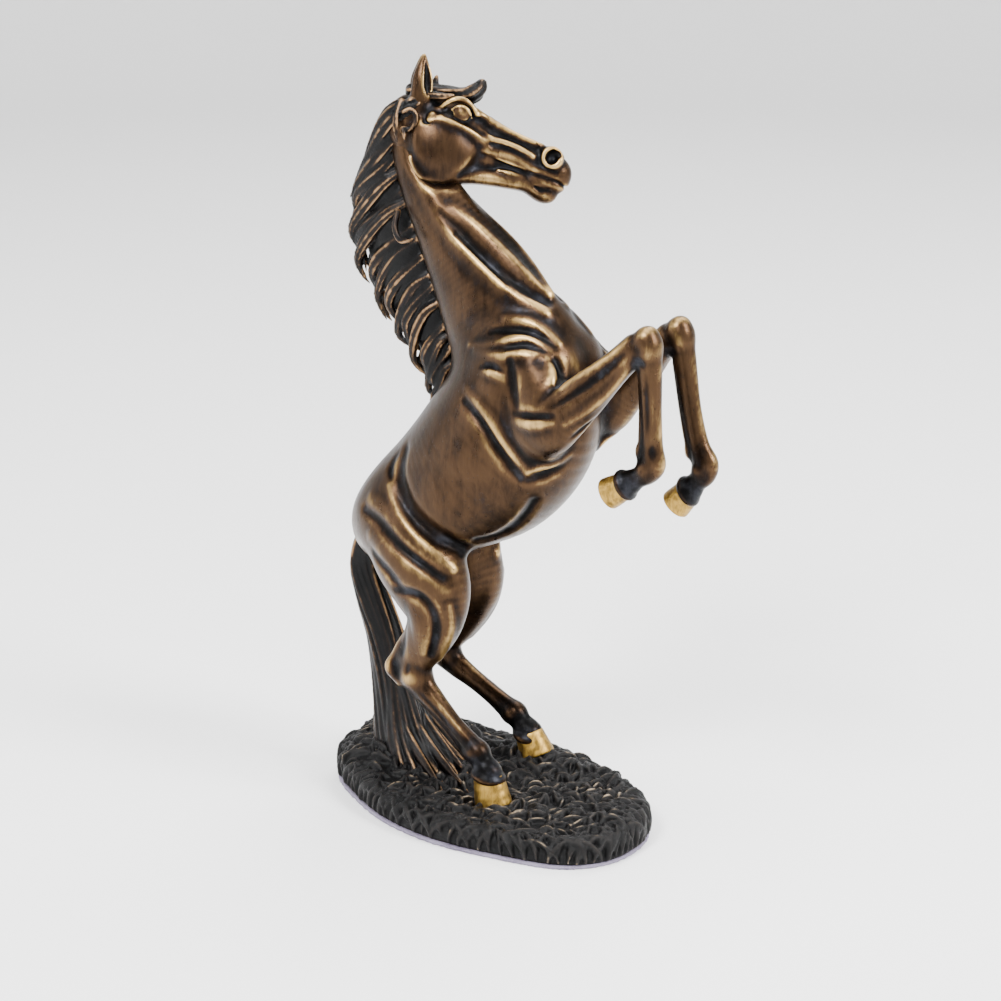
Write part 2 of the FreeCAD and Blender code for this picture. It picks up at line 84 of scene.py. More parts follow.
class Clay:
    """A block of clay: the distance to its surface on a regular grid, negative inside."""

    def __init__(self, low, high, step):
        self.step = step
        self.low = np.array(low, float)
        self.count = np.ceil((np.array(high, float) - self.low) / step).astype(int) + 1
        self.field = np.full(self.count, FAR, np.float32)

    def window(self, low, high):
        i0 = np.clip(np.floor((np.asarray(low) - self.low) / self.step).astype(int), 0, self.count)
        i1 = np.clip(np.ceil((np.asarray(high) - self.low) / self.step).astype(int) + 1, 0, self.count)
        if (i1 <= i0).any():
            return None
        part = tuple(slice(a, b) for a, b in zip(i0, i1))
        axes = [(self.low[k] + self.step * np.arange(i0[k], i1[k])).astype(np.float32) for k in range(3)]
        return part, axes[0][:, None, None], axes[1][None, :, None], axes[2][None, None, :]

    def add(self, part, d, soft):
        f = self.field[part]
        if soft > 0:
            h = np.maximum(soft - np.abs(f - d), 0) / soft
            f[...] = np.minimum(f, d) - h * h * soft * 0.25
        else:
            np.minimum(f, d, out=f)

    def remove(self, part, d, soft):
        f = self.field[part]
        h = np.maximum(soft - np.abs(f + d), 0) / max(soft, 0.01)
        f[...] = np.maximum(f, -d) + h * h * soft * 0.25

    def inside(self, p):
        i = np.round((np.asarray(p) - self.low) / self.step).astype(int)
        if (i < 0).any() or (i >= self.count).any():
            return False
        return self.field[tuple(i)] < 0

    def soften(self, passes):
        f = self.field
        for _ in range(passes):
            for axis in range(3):
                g = np.moveaxis(f, axis, 0)
                m = g.copy()
                m[1:-1] = 0.25 * g[:-2] + 0.5 * g[1:-1] + 0.25 * g[2:]
                f = np.moveaxis(m, 0, axis)
        self.field = np.ascontiguousarray(f)

    def triangles(self):
        """Vertices and outward triangles of the clay's surface."""
        for axis in range(3):
            for end in (0, -1):
                np.moveaxis(self.field, axis, 0)[end] = FAR
        grid = openvdb.FloatGrid(FAR)
        grid.copyFromArray(self.field)
        points, quads = grid.convertToQuads(0.0)
        v = np.asarray(points, float) * self.step + self.low
        q = np.asarray(quads, int)
        t = np.vstack([q[:, [0, 1, 2]], q[:, [0, 2, 3]]])
        a, b, c = v[t[:, 0]], v[t[:, 1]], v[t[:, 2]]
        if (np.cross(b, c) * a).sum() < 0:
            t = t[:, ::-1]
        return v, t


def capsule(x, y, z, a, b, ra, rb, side, strands=None, turn=0.0):
    """Distance to a tapered oval rod from a to b; ra and rb are its (sideways, other) radius at the ends."""
    a, b = np.asarray(a, float), np.asarray(b, float)
    u = b - a
    length = max(np.linalg.norm(u), 1e-6)
    u = u / length
    s = side - u * (side @ u)
    s = s / max(np.linalg.norm(s), 1e-6)
    n = np.cross(u, s)
    vx, vy, vz = x - a[0], y - a[1], z - a[2]
    along = vx * u[0] + vy * u[1] + vz * u[2]
    t = np.clip(along / length, 0, 1)
    w = ra[0] + t * (rb[0] - ra[0])
    h = ra[1] + t * (rb[1] - ra[1])
    over = along - t * length
    sc = (vx * s[0] + vy * s[1] + vz * s[2]) / w
    nc = (vx * n[0] + vy * n[1] + vz * n[2]) / h
    end = over / np.minimum(w, h)
    k0 = np.sqrt(sc * sc + nc * nc + end * end) + 1e-5
    k1 = np.sqrt((sc / w) ** 2 + (nc / h) ** 2 + (end / np.minimum(w, h)) ** 2) + 1e-5
    d = k0 * (k0 - 1) / k1
    if strands:
        number, depth, twist = strands
        d = d + depth * np.minimum(w, h) * np.cos(number * np.arctan2(nc, sc) + twist * (turn + t))
    return d.astype(np.float32)


def tube(clay, rows, soft=3.0, side=(0, 1, 0), per_span=4, cut=False, strands=None):
    """Rows of x, y, z, radius sideways, other radius, joined by a smooth path."""
    s = spline(rows, per_span)
    s[:, 3:] = np.maximum(s[:, 3:], 0.12)
    side = np.asarray(side, float)
    pad = soft + 1.5
    r = s[:, 3:].max(1)[:, None]
    area = clay.window((s[:, :3] - r).min(0) - pad, (s[:, :3] + r).max(0) + pad)
    if area is None:
        return
    part = area[0]
    start = [p.start for p in part]
    own = np.full(clay.field[part].shape, FAR, np.float32)
    for i in range(len(s) - 1):
        low = np.minimum(s[i, :3] - r[i], s[i + 1, :3] - r[i + 1]) - pad
        high = np.maximum(s[i, :3] + r[i], s[i + 1, :3] + r[i + 1]) + pad
        near = clay.window(low, high)
        if near is None:
            continue
        d = capsule(near[1], near[2], near[3], s[i, :3], s[i + 1, :3], s[i, 3:], s[i + 1, 3:], side,
                    strands, i)
        local = tuple(slice(p.start - b, p.stop - b) for p, b in zip(near[0], start))
        np.minimum(own[local], d, out=own[local])
    (clay.remove if cut else clay.add)(part, own, soft)


def ball(clay, centre, radii, soft=2.0, x=(1, 0, 0), y=(0, 1, 0), cut=False):
    """An ellipsoid with radii along x, along y, and along their normal."""
    r = np.asarray(radii, float)
    x = unit(x)
    y = np.asarray(y, float)
    y = unit(y - x * (x @ y))
    z = np.cross(x, y)
    p = np.asarray(centre, float)
    reach = np.sqrt((x * r[0]) ** 2 + (y * r[1]) ** 2 + (z * r[2]) ** 2) + soft + 1.5
    area = clay.window(p - reach, p + reach)
    if area is None:
        return
    part, gx, gy, gz = area
    q = [((gx - p[0]) * m[0] + (gy - p[1]) * m[1] + (gz - p[2]) * m[2]) / k for m, k in zip((x, y, z), r)]
    k0 = np.sqrt(q[0] ** 2 + q[1] ** 2 + q[2] ** 2) + 1e-5
    k1 = np.sqrt((q[0] / r[0]) ** 2 + (q[1] / r[1]) ** 2 + (q[2] / r[2]) ** 2) + 1e-5
    (clay.remove if cut else clay.add)(part, (k0 * (k0 - 1) / k1).astype(np.float32), soft)


def taper(points, radius, flat, ends):
    """Rows for a spindle along the points: thin at both ends, radius in the middle, flattened sideways."""
    rows = []
    for i, p in enumerate(points):
        swell = ends + (1 - ends) * math.sin(math.pi * i / (len(points) - 1))
        rows.append((*p, radius * flat * swell, radius * swell))
    return rows


# ---------------------------------------------------------------- skin: where a mark lands on the clay
# Marks are laid out on a plane beside the horse and slide along this slant until they meet the clay.
SLANT = np.array([-0.70, 1.0, -0.35])
MARK_PLANE = -22.0
START_BACK = 18
SLIDE, MOST_SLIDES = 0.3, 160
LEFT_START, LEFT_STEP, LEFT_END = 45.0, 0.4, 2
# a ridge's middle lies this share of its radius under the skin, a groove's as far above it
SINK = 0.56
MISS = 8.0
THIN_END = 0.3


def right_skin(clay, x, z, plane):
    """The point on the right skin under a mark at x, z."""
    p = np.array([x, plane, z]) - SLANT * START_BACK
    for _ in range(MOST_SLIDES):
        if clay.inside(p):
            break
        p = p + SLANT * SLIDE
    return p


def left_skin(clay, x, z):
    """The point on the left skin straight beside x, z."""
    p = np.array([x, LEFT_START, z])
    while p[1] > LEFT_END and not clay.inside(p):
        p[1] -= LEFT_STEP
    return p


def mark(clay, points, radius, sides=(-1, 1), cut=False, soft=1.6, shift=None, plane=MARK_PLANE, flat=1.0):
    """A ridge, or with cut a groove, along points (x, z) on the skin; shift moves the left side's marks."""
    for side in sides:
        path = []
        for x, z in spline(points, 2):
            p = right_skin(clay, x, z, plane)
            if side > 0:
                dx, dz = shift(p[0], p[2]) if shift else (0, 0)
                p = left_skin(clay, p[0] + dx, p[2] + dz)
            inward = radius * (-SINK if cut else SINK)
            path.append((p[0], p[1] - side * inward, p[2]))
        path = np.array(path)
        # a mark that misses this limb and lands on another is left out
        path = path[np.abs(path[:, 1] - np.median(path[:, 1])) < MISS]
        if len(path) < 3:
            continue
        for _ in range(2):
            path[1:-1] = 0.25 * path[:-2] + 0.5 * path[1:-1] + 0.25 * path[2:]
        tube(clay, taper(path, radius, flat, THIN_END), soft, per_span=2, cut=cut)


# ---------------------------------------------------------------- body: trunk, neck and legs in one clay
# Rows are x, y, z, half width across the horse, half depth.
TRUNK = [
    (-52, 0, 99, 10, 10), (-43, 0, 105.5, 18.5, 18.5), (-35, 0, 113, 21.5, 21.5), (-21, 0, 123, 23, 25),
    (-2, 0, 136.5, 26.5, 31), (11, 0, 153, 25.5, 31.5), (15, 0, 169.5, 21.5, 27), (18, 0, 182, 15, 19)]
NECK = [
    (13, 0, 174, 14.5, 25), (4, 0, 187, 14, 24.5), (-6.5, 0, 202.6, 12, 20.5), (-18.5, 0, 218.5, 10, 15),
    (-30, 0, 235, 8.4, 11), (-37, 0.5, 248, 7, 8.4), (-40, 1, 258, 5, 6)]

RIGHT_THIGH = [
    (-38, -10, 120, 8, 11), (-33, -14, 112, 11.5, 17.5), (-24, -17.5, 101, 13, 19),
    (-15, -19.5, 89, 11.5, 16.5),
    (-12.5, -20.5, 79, 9.2, 12), (-16, -21, 69, 7, 9.5), (-20.5, -21.4, 60, 4.8, 7), (-22, -21.5, 53, 4, 5.8)]
RIGHT_CANNON = [
    (-21, -21.5, 52.5, 4.4, 5.4), (-15, -21.6, 47, 4, 4.8), (-8, -21.8, 41.5, 3.3, 3.8),
    (-2, -22, 36.5, 3.1, 3.6),
    (3.5, -22, 32, 3.5, 4.1), (7.2, -22, 28.6, 4.1, 4.9), (10, -22, 25.2, 3.7, 4.3),
    (12.6, -22, 21.8, 4.9, 5.3)]
RIGHT_FOREARM = [
    (32, -17, 154, 7, 10), (38, -18.5, 159.5, 7.6, 10.8), (50, -18, 169.6, 6.3, 8.2),
    (62, -16.2, 181.8, 4.9, 6),
    (70.5, -15.2, 190.4, 4.5, 5.3)]
RIGHT_FORE_CANNON = [
    (75.6, -15, 192, 4.4, 4.8), (76.4, -15, 183, 3.6, 4.5), (77.2, -15, 168, 3, 3.9),
    (77.8, -15, 156, 3.1, 4),
    (78.2, -15, 149.8, 3.8, 4.8), (76.2, -15, 146.2, 3.4, 4.1), (71.8, -15, 143.6, 3.3, 3.8),
    (67.4, -15, 140.6, 4.5, 5)]

# The left legs are the right ones carried to the left and moved by these steps, read along each leg.
HIND_STEP_HEIGHTS = [21.5, 29, 40, 51, 70, 79, 89, 101, 113]
HIND_STEP_X = [-11.5, -13.5, -17, -18, -17, -15.5, -12.5, -9, -6.5]
HIND_STEP_Z = [0, -0.5, -2.5, -6, -7, -7, -7, -6, -5]
SHIN_STEP_HEIGHTS = [140, 149, 156, 168, 182, 190.5]
SHIN_STEP_X = [7.9, 4, 1, -2, -4.1, -5.2]
SHIN_STEP_Z = [-8, -6.2, -6, -5, -3, -2.5]
ARM_STEP_REACH = [38, 50, 62, 71]
ARM_STEP_X = [0, -2, -4, -5.2]
ARM_STEP_Z = [0, 0, -1.5, -2.5]


def left_hind(x, z):
    return np.interp(z, HIND_STEP_HEIGHTS, HIND_STEP_X), np.interp(z, HIND_STEP_HEIGHTS, HIND_STEP_Z)


def left_fore(x, z):
    """The left foreleg's knee is a little lower and its shin swings forward."""
    if z > 187 or (x < 68 and z > 150):
        return np.interp(x, ARM_STEP_REACH, ARM_STEP_X), np.interp(x, ARM_STEP_REACH, ARM_STEP_Z)
    return np.interp(z, SHIN_STEP_HEIGHTS, SHIN_STEP_X), np.interp(z, SHIN_STEP_HEIGHTS, SHIN_STEP_Z)


def carried(rows, move):
    """Rows of a right leg carried to the left leg."""
    out = []
    for x, y, z, wide, deep in rows:
        dx, dz = move(x, z)
        out.append((x + dx, -y, z + dz, wide, deep))
    return out


def both(rows, move):
    return rows, carried(rows, move)


def body_forms(clay):
    """The big masses, blended."""
    tube(clay, TRUNK, 4, per_span=8)
    tube(clay, NECK, 7, per_span=8)
    for side in (-1, 1):
        ball(clay, (30, side * 8, 172), (9, 9, 14), 7, (1, 0, -0.3))
        ball(clay, (20, side * 12, 173), (15, 9, 15), 7, (0.5, 0, 0.87))
        ball(clay, (31, side * 15, 163), (11, 9.5, 15), 5, (1, 0, -0.1))
        ball(clay, (-42, side * 9, 109), (15, 12, 13), 6, (0.6, 0, 0.8))
        ball(clay, (-8, side * 10, 122), (20, 15, 18), 6, (0.7, 0, 0.7))
    for rows in both(RIGHT_THIGH, left_hind):
        tube(clay, rows, 6, per_span=7)
    for rows in both(RIGHT_CANNON, left_hind):
        tube(clay, rows, 2.2)
    for rows in both(RIGHT_FOREARM, left_fore):
        tube(clay, rows, 5, per_span=6)
    for rows in both(RIGHT_FORE_CANNON, left_fore):
        tube(clay, rows, 2)


def leg_joints(clay):
    """Knees, hocks, fetlocks, tendons and coronets."""
    for side, fore, hind in ((-1, lambda x, z: (0, 0), lambda x, z: (0, 0)), (1, left_fore, left_hind)):
        def at(x, y, z, move):
            dx, dz = move(x, z)
            return (x + dx, side * y, z + dz)
        # knee: a square block with a cap at the front and a small heel behind
        ball(clay, at(74.6, 15, 194.6, fore), (4.7, 4.6, 4), 2.2, (0.8, 0, 0.6))
        ball(clay, at(76.6, 15, 191, fore), (3.7, 4.5, 4.6), 2)
        ball(clay, at(72.6, 15, 189, fore), (2.7, 3.2, 3.4), 2)
        tube(clay, [(*at(73, 15, 182, fore), 1.5, 1.6), (*at(73.6, 15, 168, fore), 1.6, 1.5),
                    (*at(73.6, 15, 156, fore), 1.8, 1.6), (*at(73.4, 15, 150.4, fore), 1.6, 1.4)], 1)
        ball(clay, at(72.6, 15, 153.4, fore), (1.7, 1.7, 3), 1.2)
        ball(clay, at(75.4, 15, 147.4, fore), (3.8, 4.1, 3.6), 1.6)
        ball(clay, at(66.8, 15, 140.2, fore), (2.6, 5.7, 6), 1, (0.86, 0, 0.5))
        # hock: bone at the front, point behind, tendon up to the calf
        ball(clay, at(-20.5, 21.5, 53.4, hind), (6, 4.6, 5.6), 2.5, (0.8, 0, -0.6))
        tube(clay, [(*at(-18, 21, 74, hind), 3, 4), (*at(-26.5, 21.4, 66, hind), 1.9, 2.2),
                    (*at(-30.4, 21.5, 59.6, hind), 1.9, 2), (*at(-32.2, 21.5, 54.4, hind), 2.8, 2.9),
                    (*at(-27.5, 21.6, 50.2, hind), 2.8, 2.8)], 2.2)
        ball(clay, at(-31.6, 21.5, 54.6, hind), (3.1, 2.9, 3.4), 1.2)
        # web of skin closing the crook between tendon and calf
        ball(clay, at(-26.4, 21.5, 58.4, hind), (3.4, 2.4, 6.5), 2)
        # flexor tendons behind the shin, ergot and coronet
        tube(clay, [(*at(-25, 21.6, 49.4, hind), 2, 2), (*at(-13, 21.8, 40.6, hind), 1.7, 1.6),
                    (*at(-4, 22, 33.6, hind), 1.7, 1.6), (*at(2, 22, 28.4, hind), 2.2, 2)], 1.1)
        ball(clay, at(4, 22, 27.4, hind), (2.6, 3, 3), 1.5)
        ball(clay, at(7.6, 22, 28.8, hind), (4.6, 4.5, 4.4), 1.5)
        ball(clay, at(12.4, 22, 20.4, hind), (6.9, 6.5, 3), 1.2, (1, 0, -0.2))
        ball(clay, at(11, 22, 24, hind), (4.4, 4.4, 3), 1.5)


def trunk_marks(clay):
    """Shoulder folds, arm, flank and belly creases, right side first and mirrored."""
    # collar fold over the shoulder, the crease under it, and the second fold
    mark(clay, [(4, 184), (12, 184.6), (20, 187), (28, 190.6), (35, 190), (40, 187.4)], 1.7, soft=1.6)
    mark(clay, [(19, 183.6), (25, 187), (31, 188), (37, 186.6)], 1.5, cut=True, soft=1.6)
    mark(clay, [(7, 182), (14, 181.4), (20, 181.8), (28, 183.6), (36, 183.4)], 2.1, soft=2)
    mark(clay, [(38, 183), (41.5, 178), (38, 173), (33, 168)], 2, soft=2)
    mark(clay, [(42, 184), (46, 178), (43, 173)], 1.6, cut=True, soft=2.4)
    mark(clay, [(20, 196), (28, 196.6), (36, 194), (42, 190)], 2.2, soft=2.6)
    mark(clay, [(14, 191), (24, 193.2), (34, 193.4), (42, 188.6)], 1.3, cut=True, soft=1.8)
    # upper arm: a square muscle with a groove behind it and a small eye-shaped fold
    mark(clay, [(25, 182), (28, 174), (30, 166)], 5.5, soft=3, flat=0.5)
    mark(clay, [(35, 181), (35, 173), (31, 165)], 4.4, soft=3, flat=0.5)
    mark(clay, [(22, 181), (22.4, 173), (24.5, 164)], 1.6, cut=True, soft=2.4)
    mark(clay, [(9, 176.6), (14, 178), (19, 176.2)], 1.1, cut=True, soft=1.2)
    mark(clay, [(9, 174.4), (14, 175), (19.4, 172.6)], 1.9, soft=1.4)
    mark(clay, [(24, 161.6), (31, 161), (40.5, 163)], 1.3, cut=True, soft=1.6)
    mark(clay, [(24, 158.6), (31, 157.6), (39.5, 160)], 2.2, soft=2)
    # triceps edge down to the pointed elbow fold, and the girth behind it
    mark(clay, [(2, 163), (9, 157.6), (15.6, 150), (21.6, 143), (27.6, 138)], 1.7, cut=True, soft=3)
    mark(clay, [(3, 167), (10, 161.4), (16.4, 154), (22.6, 146.6), (29, 141.4)], 2.4, soft=2.4)
    mark(clay, [(30, 141.2), (36, 144.2), (43, 147), (52, 154)], 1.9, soft=1.8)
    mark(clay, [(31, 137.6), (38, 140.8), (46, 145)], 1.5, cut=True, soft=2.2)
    # the flank: a deep groove round the back of the barrel, with the thigh's front edge standing beside it
    mark(clay, [(-25.5, 141), (-28, 134), (-28, 127), (-25, 119.6), (-18.6, 113.6), (-9, 109.6), (2, 107)],
         2.3,
         cut=True, soft=4.5)
    mark(clay, [(-33, 125), (-31.4, 120), (-27, 113.8), (-21, 108), (-14, 104)], 1.5, soft=1.6)
    mark(clay, [(-29, 139), (-33, 133), (-31.6, 129)], 1.3, sides=(-1,), cut=True, soft=2)
    mark(clay, [(-30, 143), (-36, 136), (-36.4, 129)], 1.6, sides=(-1,), soft=2.2)
    # belly line
    mark(clay, [(8, 111), (18, 114), (27, 121), (33, 130)], 0.9, cut=True, soft=4)


def neck_marks(clay):
    """The long neck muscle, the jugular groove, the windpipe and the throat."""
    plane = -10.0
    mark(clay, [(-28, 243), (-24.7, 236.4), (-17, 225.6), (-6, 214), (7, 205), (20, 198.6), (28, 196)], 2.5,
         soft=4, plane=plane, flat=0.7)
    mark(clay, [(-17, 228.4), (-13, 225), (-6, 221), (2.7, 215), (11.3, 208.8), (20, 204.4), (31, 201.6)],
         1.5,
         cut=True, soft=2.6, plane=plane)
    mark(clay, [(-12, 230), (-4, 225.6), (0.5, 222.3), (11.3, 215.1), (22, 207.9), (29.5, 204)], 2.2,
         soft=3, plane=plane, flat=0.7)
    mark(clay, [(-10, 221.4), (-2, 216.4), (6, 210.6), (13, 205.6)], 0.8, cut=True, soft=1.2, plane=plane)
    mark(clay, [(-38, 236), (-37, 222), (-32, 208), (-24, 195), (-16, 184)], 1.8, cut=True, soft=4,
         plane=plane)


def cheek_seat(clay):
    """The cheeks stand clear of the neck: a hollow round each one."""
    for side in (-1, 1):
        ball(clay, from_head((17, side * 9, -8.4)), (13, 6.4, 13), 3.5, HEAD_AXES[0], HEAD_AXES[1], cut=True)


def thigh_marks(clay):
    """Long muscles of the thigh and calf."""
    hind = dict(shift=left_hind)
    mark(clay, [(-41.5, 119), (-34, 115.3), (-26.7, 107.6), (-14, 101), (-5, 97.6)], 3, soft=3, flat=0.6,
         **hind)
    mark(clay, [(-44, 114.8), (-36, 110.6), (-30.3, 104.2), (-22, 99.6), (-8, 94)], 1.4, cut=True, soft=3.4,
         **hind)
    mark(clay, [(-41, 104.6), (-34, 100.4), (-25.6, 94), (-17.4, 90.9), (-8, 88)], 3.4, soft=3.5, flat=0.6,
         **hind)
    mark(clay, [(-40, 98), (-33, 92), (-27, 86.6)], 1.0, cut=True, soft=3, **hind)
    mark(clay, [(-30, 85.4), (-21, 87), (-13, 83), (-9.6, 74), (-13.4, 63)], 1.1, cut=True, soft=2.6, **hind)
    mark(clay, [(-22, 82), (-18.6, 74), (-18, 64)], 3, soft=3, flat=0.55, **hind)
    mark(clay, [(-6, 84), (-5, 76), (-9, 66), (-12.4, 58)], 1.9, soft=2.2, flat=0.7, **hind)
    mark(clay, [(-27, 78), (-25.6, 68), (-27, 61)], 0.8, cut=True, soft=1.8, **hind)


def shin_marks(clay):
    """Grooves between bone and tendon, and the lines of the forearm."""
    mark(clay, [(-18, 46.8), (-9, 39.4), (0, 31.8)], 0.8, cut=True, soft=0.9, shift=left_hind)
    mark(clay, [(-24, 57), (-25.4, 53)], 0.6, cut=True, soft=1.2, shift=left_hind)
    mark(clay, [(-13.4, 46.6), (-3, 38), (5, 31.4)], 1.0, soft=1, shift=left_hind)
    fore = dict(shift=left_fore, plane=-15.0)
    mark(clay, [(31, 163), (40, 171.6), (52, 179), (62, 187), (68, 193)], 1.9, soft=1.8, flat=0.7, **fore)
    mark(clay, [(36, 164), (46, 171), (56, 178.6), (65, 187)], 1.2, cut=True, soft=1.6, **fore)
    mark(clay, [(40, 158), (50, 165), (60, 174.6), (67, 183)], 1.6, soft=2, flat=0.7, **fore)
    mark(clay, [(44, 153.6), (54, 163), (64, 174)], 0.9, cut=True, soft=1.2, **fore)
    mark(clay, [(70.6, 186), (73.6, 183.8)], 1.1, cut=True, soft=1.2, **fore)
    mark(clay, [(74.6, 181), (75.2, 168), (75.4, 156)], 0.7, cut=True, soft=0.8, **fore)
    mark(clay, [(77.4, 157), (77.8, 151.4)], 1.1, cut=True, soft=1, **fore)


# ---------------------------------------------------------------- head, on its own axes
# x runs from the poll to the lips, y to the left, z up from the jaw.
HEAD_PLACE = np.array([-38.0, 1.5, 262.0])
HEAD_TURN, HEAD_TIP, HEAD_LEAN = np.radians([25.0, -23.8, -14.0])


def head_axes():
    x = np.array([math.cos(HEAD_TIP) * math.cos(HEAD_TURN), math.cos(HEAD_TIP) * math.sin(HEAD_TURN),
                  math.sin(HEAD_TIP)])
    level = unit(np.cross((0, 0, 1), x))
    above = np.cross(x, level)
    y = level * math.cos(HEAD_LEAN) + above * math.sin(HEAD_LEAN)
    return np.array([x, y, np.cross(x, y)])


HEAD_AXES = head_axes()


def from_head(points):
    """Points on the head's axes, in the row frame."""
    return HEAD_PLACE + np.asarray(points, float) @ HEAD_AXES


SKULL = [
    (-4, 0, -3, 4, 6), (0, 0, -3, 6.5, 10), (9, 0, -4.5, 8, 13.4), (18, 0, -3.5, 8.4, 14.6),
    (26, 0, -0.5, 7, 11.2),
    (36, 0, 0.8, 5.2, 8.2), (46, 0, 1, 4.7, 8), (54, 0, 0.8, 4.8, 8), (58.8, 0, 0, 4.2, 6.4),
    (60.8, 0, -0.4, 2.8, 4)]


def head_forms(clay):
    tube(clay, SKULL, 2)
    ball(clay, (58.2, 0, 2.4), (3.6, 4.3, 4), 2)
    ball(clay, (55.6, 0, -6.6), (5.8, 4.2, 4.1), 1.8)
    tube(clay, [(10, 0, -24, 2.4, 3), (28, 0, -19.4, 2.4, 3), (44, 0, -12.2, 2, 2.2)], 2, cut=True)
    for s in (-1, 1):
        def line(points, radius, cut=False, soft=1.4, ends=THIN_END):
            under = 0.0 if cut else 0.35 * radius
            rows = taper([(x, s * (y - under), z) for x, y, z in points], radius, 1.0, ends)
            tube(clay, rows, soft * 1.35, per_span=3, cut=cut)
        # cheek disc, its front edge, and the jaw bars
        ball(clay, (17.5, s * 5.2, -8.6), (12.2, 5.4, 12), 1.6)
        ball(clay, (13, s * 7.4, -6), (7, 2.6, 7), 5)
        line([(24, 3.6, -15.6), (34, 3.5, -11.2), (44, 3.4, -8.2), (52, 3.2, -6.4)], 2.8, soft=2.4, ends=0.8)
        line([(29.6, 7.4, 0), (31, 7.2, -4), (30, 7.2, -9), (27, 7.2, -14)], 1.7, cut=True, soft=2)
        line([(33, 7, -4.6), (38, 6.4, -4.2), (43, 6, -3.8), (47.6, 5.6, -3.4)], 1.5, cut=True, soft=1.6)
        line([(7, 7.6, -16), (14, 7, -20.4), (22, 6.2, -18.6)], 1.0, soft=2)
        # cheek bone from behind the eye down towards the mouth
        line([(6.6, 8, -3), (11, 9.4, 1), (15.6, 9.6, 2.2), (21, 8.8, 2.6), (26.6, 7.3, 1.4),
              (31, 6.4, -0.4)], 1.0, soft=2.4)
        line([(13, 9.6, 3.4), (19, 9.4, 4), (25, 8, 4), (29, 7, 3)], 0.7, cut=True, soft=1.4)
        line([(23, 8, 6.4), (27, 7.2, 5), (31, 6.7, 3.6)], 0.5, soft=1)
        line([(24, 7.6, 7.6), (29, 6.5, 6.4), (33, 6.2, 5.6)], 0.5, soft=1)
        # brow, eye socket, eyeball and lids
        line([(9, 7.2, 4), (11.4, 8.4, 7.8), (14.6, 8.6, 10.6), (18.6, 8, 11), (22.6, 6.8, 8.8)], 1.2,
             soft=2.2)
        ball(clay, (17.6, s * 10, 6.9), (4.4, 2.4, 2.9), 1.4, cut=True)
        ball(clay, (17.7, s * 6.7, 6.8), (3.1, 2.9, 2.7), 0.3)
        line([(13.8, 8, 6.2), (15.2, 8.8, 8), (17.8, 9.2, 9), (20.4, 8.7, 8.2), (22, 7.8, 6.4)], 0.6,
             soft=0.6, ends=0.6)
        line([(13.8, 8, 6), (16.2, 8.8, 4.6), (19.2, 8.7, 4.6), (22, 7.8, 6.1)], 0.45, soft=0.6, ends=0.6)
        line([(12.6, 8.4, 7.6), (15.4, 9, 9.8), (19, 8.8, 10), (21.6, 8, 8)], 0.4, cut=True, soft=0.5)
        # hollow above the eye, knob behind it, hollow at the ear's root
        ball(clay, (8.2, s * 8.8, 4.6), (2.4, 1.6, 2), 1.4, cut=True)
        ball(clay, (8.8, s * 7.6, 0.9), (2.1, 1.9, 2), 0.6)
        line([(5.4, 8.6, 1), (7, 8.8, -2), (10.4, 9.4, -1.6)], 0.7, cut=True, soft=0.9)
        # nasal bone, the groove below it, and the straps to the mouth
        line([(22, 5.4, 9.8), (30, 4.1, 8.4), (39, 3.6, 7.8), (49, 3.4, 8.4)], 0.8, soft=2.4, ends=0.6)
        line([(25, 6.8, 6.4), (34, 5.8, 5.6), (43, 5.2, 5.8), (47, 5, 6.4)], 0.8, cut=True, soft=1.8)
        line([(29, 6.2, 1.4), (35, 5.6, 3.4), (42, 5.2, 4), (48.4, 5, 3.4)], 0.7, soft=1.8)
        line([(32, 6.3, 1), (38, 5.7, 1.8), (44, 5.4, 2)], 0.6, cut=True, soft=1)
        line([(30.6, 5.8, -2.2), (37, 5.3, -0.8), (44, 5, -0.2), (51, 4.7, -1)], 0.9, soft=1.8)
        line([(36, 5.6, -3), (42, 5.2, -2.2), (47, 5, -2)], 0.6, soft=0.8)
        line([(38, 4.6, -6.4), (43, 4.4, -5.6), (48, 4.1, -4.8)], 0.8, soft=1)
        # nostril: a flared rim round a deep comma, with a groove behind
        ball(clay, (53.8, s * 4, 5.8), (4.6, 2.4, 4.2), 1.6)
        line([(47, 4.8, 8.4), (49.2, 5.5, 5.6), (50.6, 5.7, 2.6), (54, 5.6, 1), (57.4, 4.9, 1.2)], 1.0,
             cut=True, soft=1.4)
        ring = [(54.2 + 3.3 * math.cos(a), 5.8 - 0.5 * math.cos(a), 6.2 + 3.6 * math.sin(a))
                for a in np.radians([60, 110, 160, 210, 260, 310, 350, 400])]
        line(ring, 0.5, soft=1.2, ends=0.8)
        ball(clay, (54.3, s * 7, 6.2), (2.5, 3.4, 3), 0.5, cut=True)
        ball(clay, (56, s * 6.6, 8), (1.7, 2.2, 1.6), 0.5, cut=True)
        # mouth
        line([(49.4, 4.8, -2.4), (53, 5.1, -1.5), (57.4, 4.6, -1), (60.4, 3.2, -1.2), (62.4, 1, -1.5),
              (62.8, -0.6, -1.5)],
             0.55, cut=True, soft=0.5, ends=0.7)
        line([(50, 4.3, -0.4), (55, 4.4, 0.2), (59.4, 3.2, 0.4), (61.2, 1, 0.2)], 0.9, soft=1, ends=0.5)
        line([(50.6, 4, -3.8), (56, 4.1, -3.2), (59.8, 2.9, -3), (61.2, 0.6, -3.2)], 0.9, soft=1, ends=0.5)
        line([(51, 3.6, -5.8), (55, 4.1, -6.4), (58, 3.6, -5.4)], 0.5, cut=True, soft=1)
